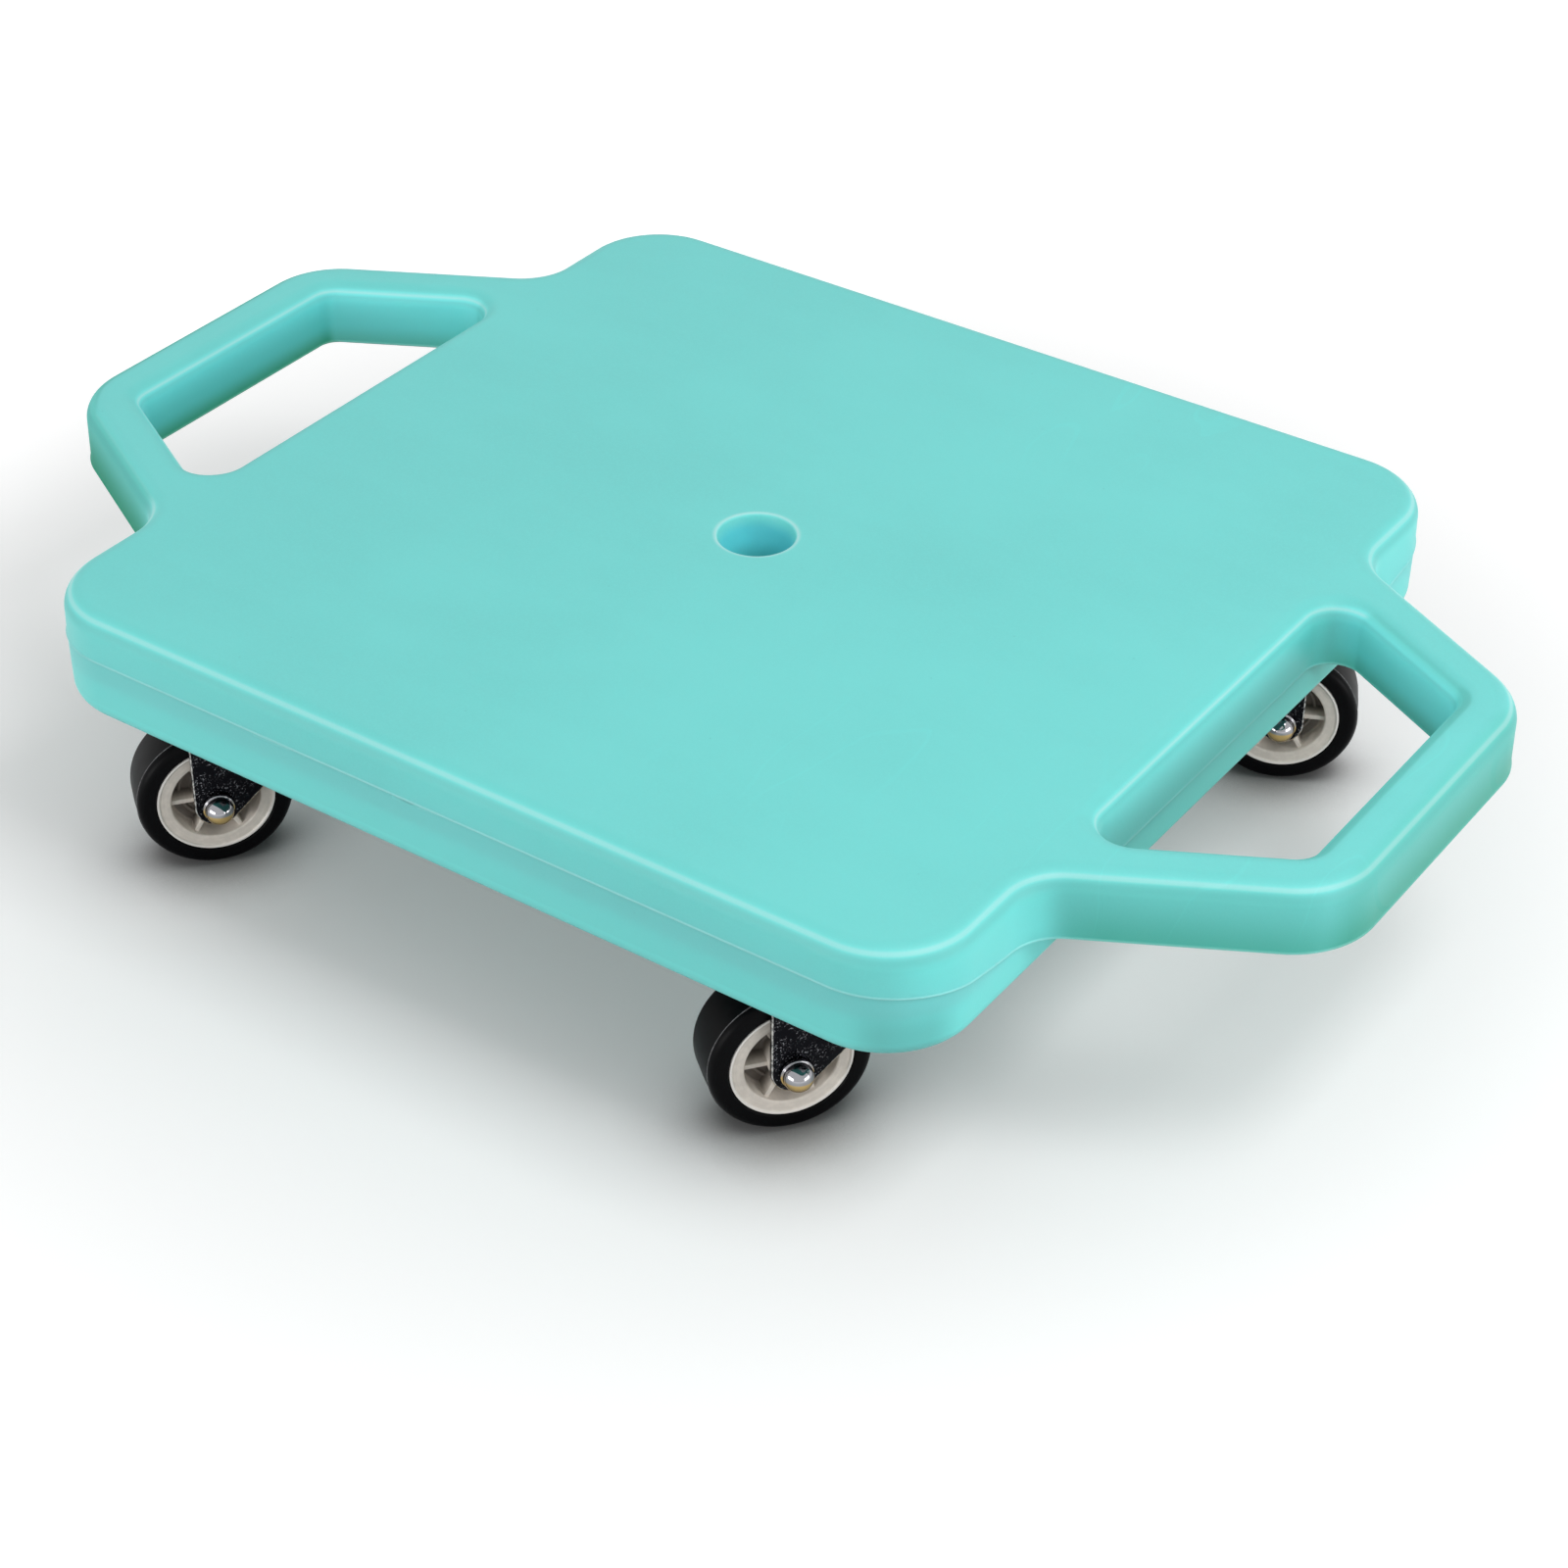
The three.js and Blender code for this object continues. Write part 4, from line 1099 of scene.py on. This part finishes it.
class BOARD_OT_forks(Operator):
    """Adds the bent forks with their round crowns"""

    bl_idname = "board.forks"
    bl_label = "Forks"

    def execute(self, context):
        form = CasterForm(context.scene.board_casters)
        colours = context.scene.board_colours
        mesh = self.bracket(form, black_chrome(colours), painted_highlight_edge(colours))
        put_on_casters("bent_fork", mesh, "swivel_{}", "fork", turn_matrix)
        return {"FINISHED"}

    @classmethod
    def bracket(cls, form, finish, edge_finish):
        """Strip bent over the wheel, trimmed to the legs' side view, with softened edges and the crown."""
        strip = cls.prism(cls.section(form), 90 * MM, ALONG_Y)
        side = cls.prism(cls.side_view(form), 60 * MM, ALONG_AXLE)
        bent = carve(strip, [side], "INTERSECT")
        bent.materials.append(finish)
        bent.materials.append(edge_finish)
        holder = add_object("holder", bent)
        bevel = holder.modifiers.new("edges", "BEVEL")
        bevel.width = 0.45 * MM
        bevel.segments = 4
        bevel.material = 1
        bevel.limit_method = "ANGLE"
        bevel.angle_limit = math.radians(40)
        softened = settle(holder, [holder])
        bm = bmesh.new()
        bm.from_mesh(softened)
        rim, collar = form.sizes.crown / 2, 1.8 * MM
        slack = 0.04 * MM
        low, high = form.crown_bottom - slack, form.crown_top + slack
        turned(bm, [
            (4.2 * MM, low), (rim - 1.0 * MM, low, 0.6 * MM), (rim, form.crown_bottom + 0.8 * MM, 0.5 * MM),
            (rim, form.crown_top + 1.0 * MM, 0.4 * MM), (rim - collar, form.crown_top + 1.0 * MM, 0.4 * MM),
            (rim - collar, high, 0.4 * MM), (4.2 * MM, high),
        ], 96, closed=True)
        mesh = to_mesh("bent_fork", bm, finish, sharp=38)
        mesh.materials.append(edge_finish)
        return mesh

    @staticmethod
    def section(form):
        """Section across the wheel."""
        bend = 3.5 * MM
        hollow = bend - form.sizes.sheet
        foot = form.axle.z - 9 * MM
        outside, inside = form.leg_outside, form.leg_inside
        return [
            (outside, foot, 0.0, 1), (outside, form.crown_top, bend, 10),
            (-outside, form.crown_top, bend, 10), (-outside, foot, 0.0, 1),
            (-inside, foot, 0.0, 1), (-inside, form.crown_bottom, hollow, 8),
            (inside, form.crown_bottom, hollow, 8), (inside, foot, 0.0, 1),
        ]

    @staticmethod
    def side_view(form):
        """Side view of a leg: upright behind the axle, slanted in front of it, round below."""
        eye = form.sizes.eye
        _, axle_y, axle_z = form.axle
        lead = form.sizes.lead
        shoulder = Vector((lead, form.crown_top - 5.5 * MM))
        reach = shoulder - Vector((axle_y, axle_z))
        slope = math.atan2(reach.y, reach.x) + math.asin(eye / reach.length)
        bottom = axle_z - eye
        meet = shoulder.x - (shoulder.y - bottom) / math.tan(slope)
        top = form.crown_top + 2 * MM
        return [
            (axle_y - eye, top, 0.0, 1), (axle_y - eye, bottom, eye, 18), (meet, bottom, eye, 18),
            (lead, shoulder.y, 4 * MM, 8), (lead, top, 0.0, 1),
        ]

    @staticmethod
    def prism(corners, depth, at):
        """Extrudes an outline by depth, half to each side."""
        bm = bmesh.new()
        made = loft(bm, [ring(corners, 0.0, z) for z in (-depth / 2, depth / 2)])
        cap(bm, made[0])
        cap(bm, made[1])
        bmesh.ops.remove_doubles(bm, verts=bm.verts, dist=TINY)
        bmesh.ops.dissolve_limit(bm, angle_limit=0.002, verts=bm.verts, edges=bm.edges)
        bmesh.ops.recalc_face_normals(bm, faces=bm.faces)
        bm.transform(at)
        return plain_mesh("prism", bm)


class BOARD_OT_axles(Operator):
    """Adds the axle bolts and dome nuts, and finishes the axle sleeves"""

    bl_idname = "board.axles"
    bl_label = "Axles and dome nuts"

    def execute(self, context):
        colours = context.scene.board_colours
        form = CasterForm(context.scene.board_casters)
        bolt, nut = self.bolt(form, zinc_plate(colours)), self.nut(form, bright_chrome(colours))
        put_on_casters("hex_bolt", bolt, "swivel_{}", "axle_bolt", wheel_matrix)
        put_on_casters("cap_nut", nut, "swivel_{}", "dome_nut", wheel_matrix)
        finish = bare_steel(colours)
        for caster in CASTERS:
            materials = frame["nodes"][f"axle_sleeve_{caster}"].data.materials
            materials.clear()
            materials.append(finish)
        return {"FINISHED"}

    @staticmethod
    def bolt(form, finish):
        """Hexagonal head with a chamfered face, and the shank."""
        seat, head, face = -form.nut_seat, 5.5 * MM, -form.nut_seat - 4 * MM
        root, end = seat - 0.5 * MM, form.nut_seat + 1.9 * MM
        bm = bmesh.new()
        turned(bm, [(0.0, face), (head * 0.82, face), (head, face + 0.6 * MM), (head, seat), (0.0, seat)],
               6, ALONG_AXLE)
        turned(bm, [(0.0, root), (3 * MM, root), (3 * MM, end, 0.3 * MM), (0.0, end)], 40, ALONG_AXLE)
        return to_mesh("hex_bolt", bm, finish, sharp=20)

    @staticmethod
    def nut(form, finish):
        """Round flange and high polished cap."""
        sizes = form.sizes
        seat, dome, flange = form.nut_seat, sizes.nut_dome / 2, sizes.nut_flange / 2
        top = seat + sizes.nut_height
        turns = [math.pi / 2 * k / 20 for k in range(20)]
        points = [(0.0, seat), (flange, seat, 0.15 * MM), (flange, seat + 1.2 * MM, 0.45 * MM),
                  (dome * 0.985, seat + 1.2 * MM, 0.2 * MM)]
        points += [(dome * math.cos(turn), top - dome + dome * math.sin(turn)) for turn in turns]
        points.append((0.0, top))
        return turned_mesh("cap_nut", finish, points, 72, ALONG_AXLE, sharp=60)


class BOARD_OT_hubs(Operator):
    """Adds the ribbed hubs"""

    bl_idname = "board.hubs"
    bl_label = "Hubs"

    def execute(self, context):
        mesh = self.hub(CasterForm(context.scene.board_casters), hub_plastic(context.scene.board_colours))
        put_on_casters("ribbed_hub", mesh, "wheel_{}", "hub", wheel_matrix)
        return {"FINISHED"}

    @staticmethod
    def hub(form, finish):
        """Rim with a fine lip, web with a raised ring, boss and ribs."""
        sizes = form.sizes
        rim, inside, boss = sizes.hub / 2, sizes.hub_inside / 2, sizes.boss / 2
        face, web, end = sizes.hub_width / 2, 1.5 * MM, sizes.boss_length / 2
        band, lip = web + 1.0 * MM, face + 0.35 * MM
        half = [
            (4.8 * MM, end, 0.3 * MM), (boss, end, 0.5 * MM), (boss, web, 1.0 * MM),
            (9.6 * MM, web, 0.2 * MM), (9.8 * MM, band, 0.2 * MM), (10.6 * MM, band, 0.2 * MM),
            (10.8 * MM, web, 0.2 * MM),
            (inside, web, 1.2 * MM), (inside, face, 0.6 * MM), (rim - 1.0 * MM, face - 0.15 * MM, 0.15 * MM),
            (rim - 0.6 * MM, lip, 0.15 * MM), (rim, lip, 0.2 * MM),
        ]
        other = [(point[0], -point[1], point[2]) for point in reversed(half)]
        bm = bmesh.new()
        turned(bm, half + other, 120, ALONG_AXLE, closed=True, steps=4)
        size = Matrix.Diagonal((sizes.rib_width, sizes.rib, inside - boss + 0.8 * MM, 1))
        for k in range(sizes.rib_count):
            spin = Matrix.Rotation(2 * math.pi * (k + 0.5) / sizes.rib_count, 4, "X")
            at = spin @ Matrix.Translation((0.0, 0.0, (inside + boss) / 2))
            rib = bmesh.ops.create_cube(bm, size=1.0, matrix=at @ size)
            edges = {edge for vertex in rib["verts"] for edge in vertex.link_edges}
            bmesh.ops.bevel(bm, geom=list(edges), offset=0.3 * MM, segments=3, affect="EDGES", profile=0.5)
        return to_mesh("ribbed_hub", bm, finish)


class BOARD_OT_tyres(Operator):
    """Adds the tyres with their mould lines"""

    bl_idname = "board.tyres"
    bl_label = "Tyres"

    def execute(self, context):
        colours = context.scene.board_colours
        form = CasterForm(context.scene.board_casters)
        tyre, line = self.tyre(form, wheel_rubber(colours)), self.mould_line(form, rubber_flash())
        put_on_casters("round_tyre", tyre, "wheel_{}", "tyre", wheel_matrix)
        put_on_casters("tread_line", line, "wheel_{}", None, wheel_matrix)
        return {"FINISHED"}

    @staticmethod
    def tyre(form, finish):
        """Flat sides, a shallow bead step at the hub, round shoulders and a slightly crowned tread."""
        sizes = form.sizes
        bore, side = sizes.hub / 2 + 0.05 * MM, sizes.tyre_width / 2
        tread = FLOOR_TO_AXLE - 0.06 * MM
        half = [(tread, 0.0), (tread - 0.25 * MM, side, sizes.tyre_shoulder),
                (bore + 0.5 * MM, side, 0.3 * MM), (bore, side - 0.7 * MM)]
        other = [(point[0], -point[1], *point[2:]) for point in reversed(half[1:])]
        return turned_mesh("round_tyre", finish, other + half, 144, ALONG_AXLE, closed=True, steps=12)

    @staticmethod
    def mould_line(form, finish):
        """Thin flash on the tread's shoulder at the dome nut's side."""
        side = form.sizes.tyre_width / 2 - form.sizes.tyre_shoulder
        foot, crest = FLOOR_TO_AXLE - 0.35 * MM, FLOOR_TO_AXLE - 0.03 * MM
        return turned_mesh("tread_line", finish, [
            (foot, side - 0.2 * MM), (crest - 0.08 * MM, side - 0.12 * MM), (crest, side),
            (crest - 0.08 * MM, side + 0.12 * MM), (foot, side + 0.2 * MM),
        ], 144, ALONG_AXLE, closed=True)


# Stage ---------------------------------------------------------------------------------------


class BOARD_OT_stage(Operator):
    """Adds the floor, the light and the camera"""

    bl_idname = "board.stage"
    bl_label = "Stage"

    def execute(self, context):
        settings = context.scene.board_stage
        self.floor(context.scene.board_colours)
        self.world(settings)
        self.lamp("top_lamp", (0.65, -0.05, 1.1), (0.0, 0.0, 0.1), (0.55, 0.55), settings.top_light)
        self.lamp("front_lamp", (-0.5, -1.5, 0.25), (0.0, 0.0, 0.08), (1.2, 0.4), settings.front_light)
        self.lamp("right_lamp", (1.6, 0.15, 0.25), (0.0, 0.0, 0.08), (1.2, 0.4), settings.right_light)
        self.camera(settings)
        context.scene.view_settings.view_transform = "Standard"
        return {"FINISHED"}

    @staticmethod
    def floor(colours):
        """A wide pale floor that keeps the board's shadow, with a painted contact shadow where something
        stands close over it; for the camera and reflections it glows, more the further it lies from the
        board.
        """
        bm = bmesh.new()
        bmesh.ops.create_grid(bm, x_segments=40, y_segments=40, size=30.0)
        mesh = plain_mesh("floor", bm)
        floor = add_object("floor", mesh)
        floor.location.z = -0.1 * MM
        shader = Shader("pale floor")
        grain = shader.noise(60.0, 3.0)
        away = shader.node("ShaderNodeVectorMath", {"operation": "LENGTH"}, {0: shader.place}, "Value")
        # Painted contact shadow: the floor is darker and glows less where something stands within 3 cm of it
        open_floor = shader.node("ShaderNodeAmbientOcclusion", None, {"Distance": 0.03}, "AO").ramp(0.35, 1.0)
        glow = shader.blend(away.ramp(0.2, 0.55), (0.1, 0.1, 0.1), (0.6, 0.6, 0.6))
        seen = shader.node("ShaderNodeBsdfPrincipled", None, {
            "Base Color": shader.blend(open_floor, (0.22, 0.22, 0.22), colours.floor),
            "Roughness": 0.9, "Specular IOR Level": 0.0,
            "Emission Color": shader.blend(open_floor, (0.0, 0.0, 0.0), glow),
            "Emission Strength": 1.0,
        })
        lit = shader.node("ShaderNodeBsdfPrincipled", None, {
            "Base Color": shader.blend(grain, (0.3, 0.3, 0.3), (0.34, 0.34, 0.34)),
            "Roughness": 0.9, "Specular IOR Level": 0.0,
        })
        surface = shader.node("ShaderNodeMixShader", None, {0: shader.background_rays(), 1: lit, 2: seen})
        shader.node("ShaderNodeOutputMaterial", None, {"Surface": surface})
        mesh.materials.append(shader.owner)

    @staticmethod
    def world(settings):
        """White for the rays that see it, soft light for the rest."""
        shader = Shader("studio", "worlds")
        white = (1.0, 1.0, 1.0, 1.0)
        soft, plain = (shader.node("ShaderNodeBackground", None, {"Color": white, "Strength": strength})
                       for strength in (settings.ambient, 1.0))
        surface = shader.node("ShaderNodeMixShader", None, {0: shader.background_rays(), 1: soft, 2: plain})
        shader.node("ShaderNodeOutputWorld", None, {"Surface": surface})
        bpy.context.scene.world = shader.owner

    @staticmethod
    def lamp(name, place, target, size, power):
        """A wide soft lamp aimed at a point."""
        light = bpy.data.lights.new(name, "AREA")
        light.shape = "RECTANGLE"
        light.size, light.size_y = size
        light.energy = power
        lamp = add_object(name, light)
        lamp.location = place
        lamp.rotation_euler = (Vector(target) - Vector(place)).to_track_quat("-Z", "Y").to_euler()

    @staticmethod
    def camera(settings):
        """Camera at the photograph's angle."""
        a, e, roll = settings.azimuth, settings.elevation, settings.roll
        back = Vector((math.sin(a) * math.cos(e), -math.cos(a) * math.cos(e), math.sin(e)))
        right = Vector((math.cos(a), math.sin(a), 0.0))
        up = back.cross(right)
        across = math.cos(roll) * right + math.sin(roll) * up
        above = math.cos(roll) * up - math.sin(roll) * right
        target = Vector((*settings.target, DECK_HIGH.z))
        data = bpy.data.cameras.new("camera")
        data.lens = settings.lens
        data.sensor_width = 36.0
        data.clip_start = 0.05
        data.clip_end = 100.0
        camera = add_object("camera", data)
        basis = Matrix((across, above, back)).transposed().to_4x4()
        camera.matrix_world = Matrix.Translation(target + back * settings.distance) @ basis
        bpy.context.scene.camera = camera


class BOARD_PT_panel(Panel):
    """Lists the steps that build the board"""

    bl_idname = "BOARD_PT_panel"
    bl_label = "Scooter Board"
    bl_space_type = "VIEW_3D"
    bl_region_type = "UI"
    bl_category = "Scooter Board"

    def draw(self, context):
        for step in STEPS:
            self.layout.operator(step.bl_idname)
        for key in GROUPS:
            group = getattr(context.scene, key)
            box = self.layout.box()
            for name in group.__annotations__:
                box.prop(group, name)


STEPS = (BOARD_OT_stage, BOARD_OT_deck, BOARD_OT_plates, BOARD_OT_swivels, BOARD_OT_forks, BOARD_OT_axles,
         BOARD_OT_hubs, BOARD_OT_tyres)
GROUPS = {"board_deck": DeckSizes, "board_casters": CasterSizes, "board_colours": BoardColours,
          "board_stage": StageSettings}


def register():
    for cls in (*GROUPS.values(), *STEPS, BOARD_PT_panel):
        bpy.utils.register_class(cls)
    for name, group in GROUPS.items():
        setattr(bpy.types.Scene, name, PointerProperty(type=group))


def unregister():
    for name in GROUPS:
        delattr(bpy.types.Scene, name)
    for cls in (BOARD_PT_panel, *reversed(STEPS), *reversed(list(GROUPS.values()))):
        bpy.utils.unregister_class(cls)


def main():
    """Builds the board and its stage."""
    register()
    bpy.ops.board.stage()
    bpy.ops.board.deck()
    bpy.ops.board.plates()
    bpy.ops.board.swivels()
    bpy.ops.board.forks()
    bpy.ops.board.axles()
    bpy.ops.board.hubs()
    bpy.ops.board.tyres()


if __name__ == "__main__":
    main()
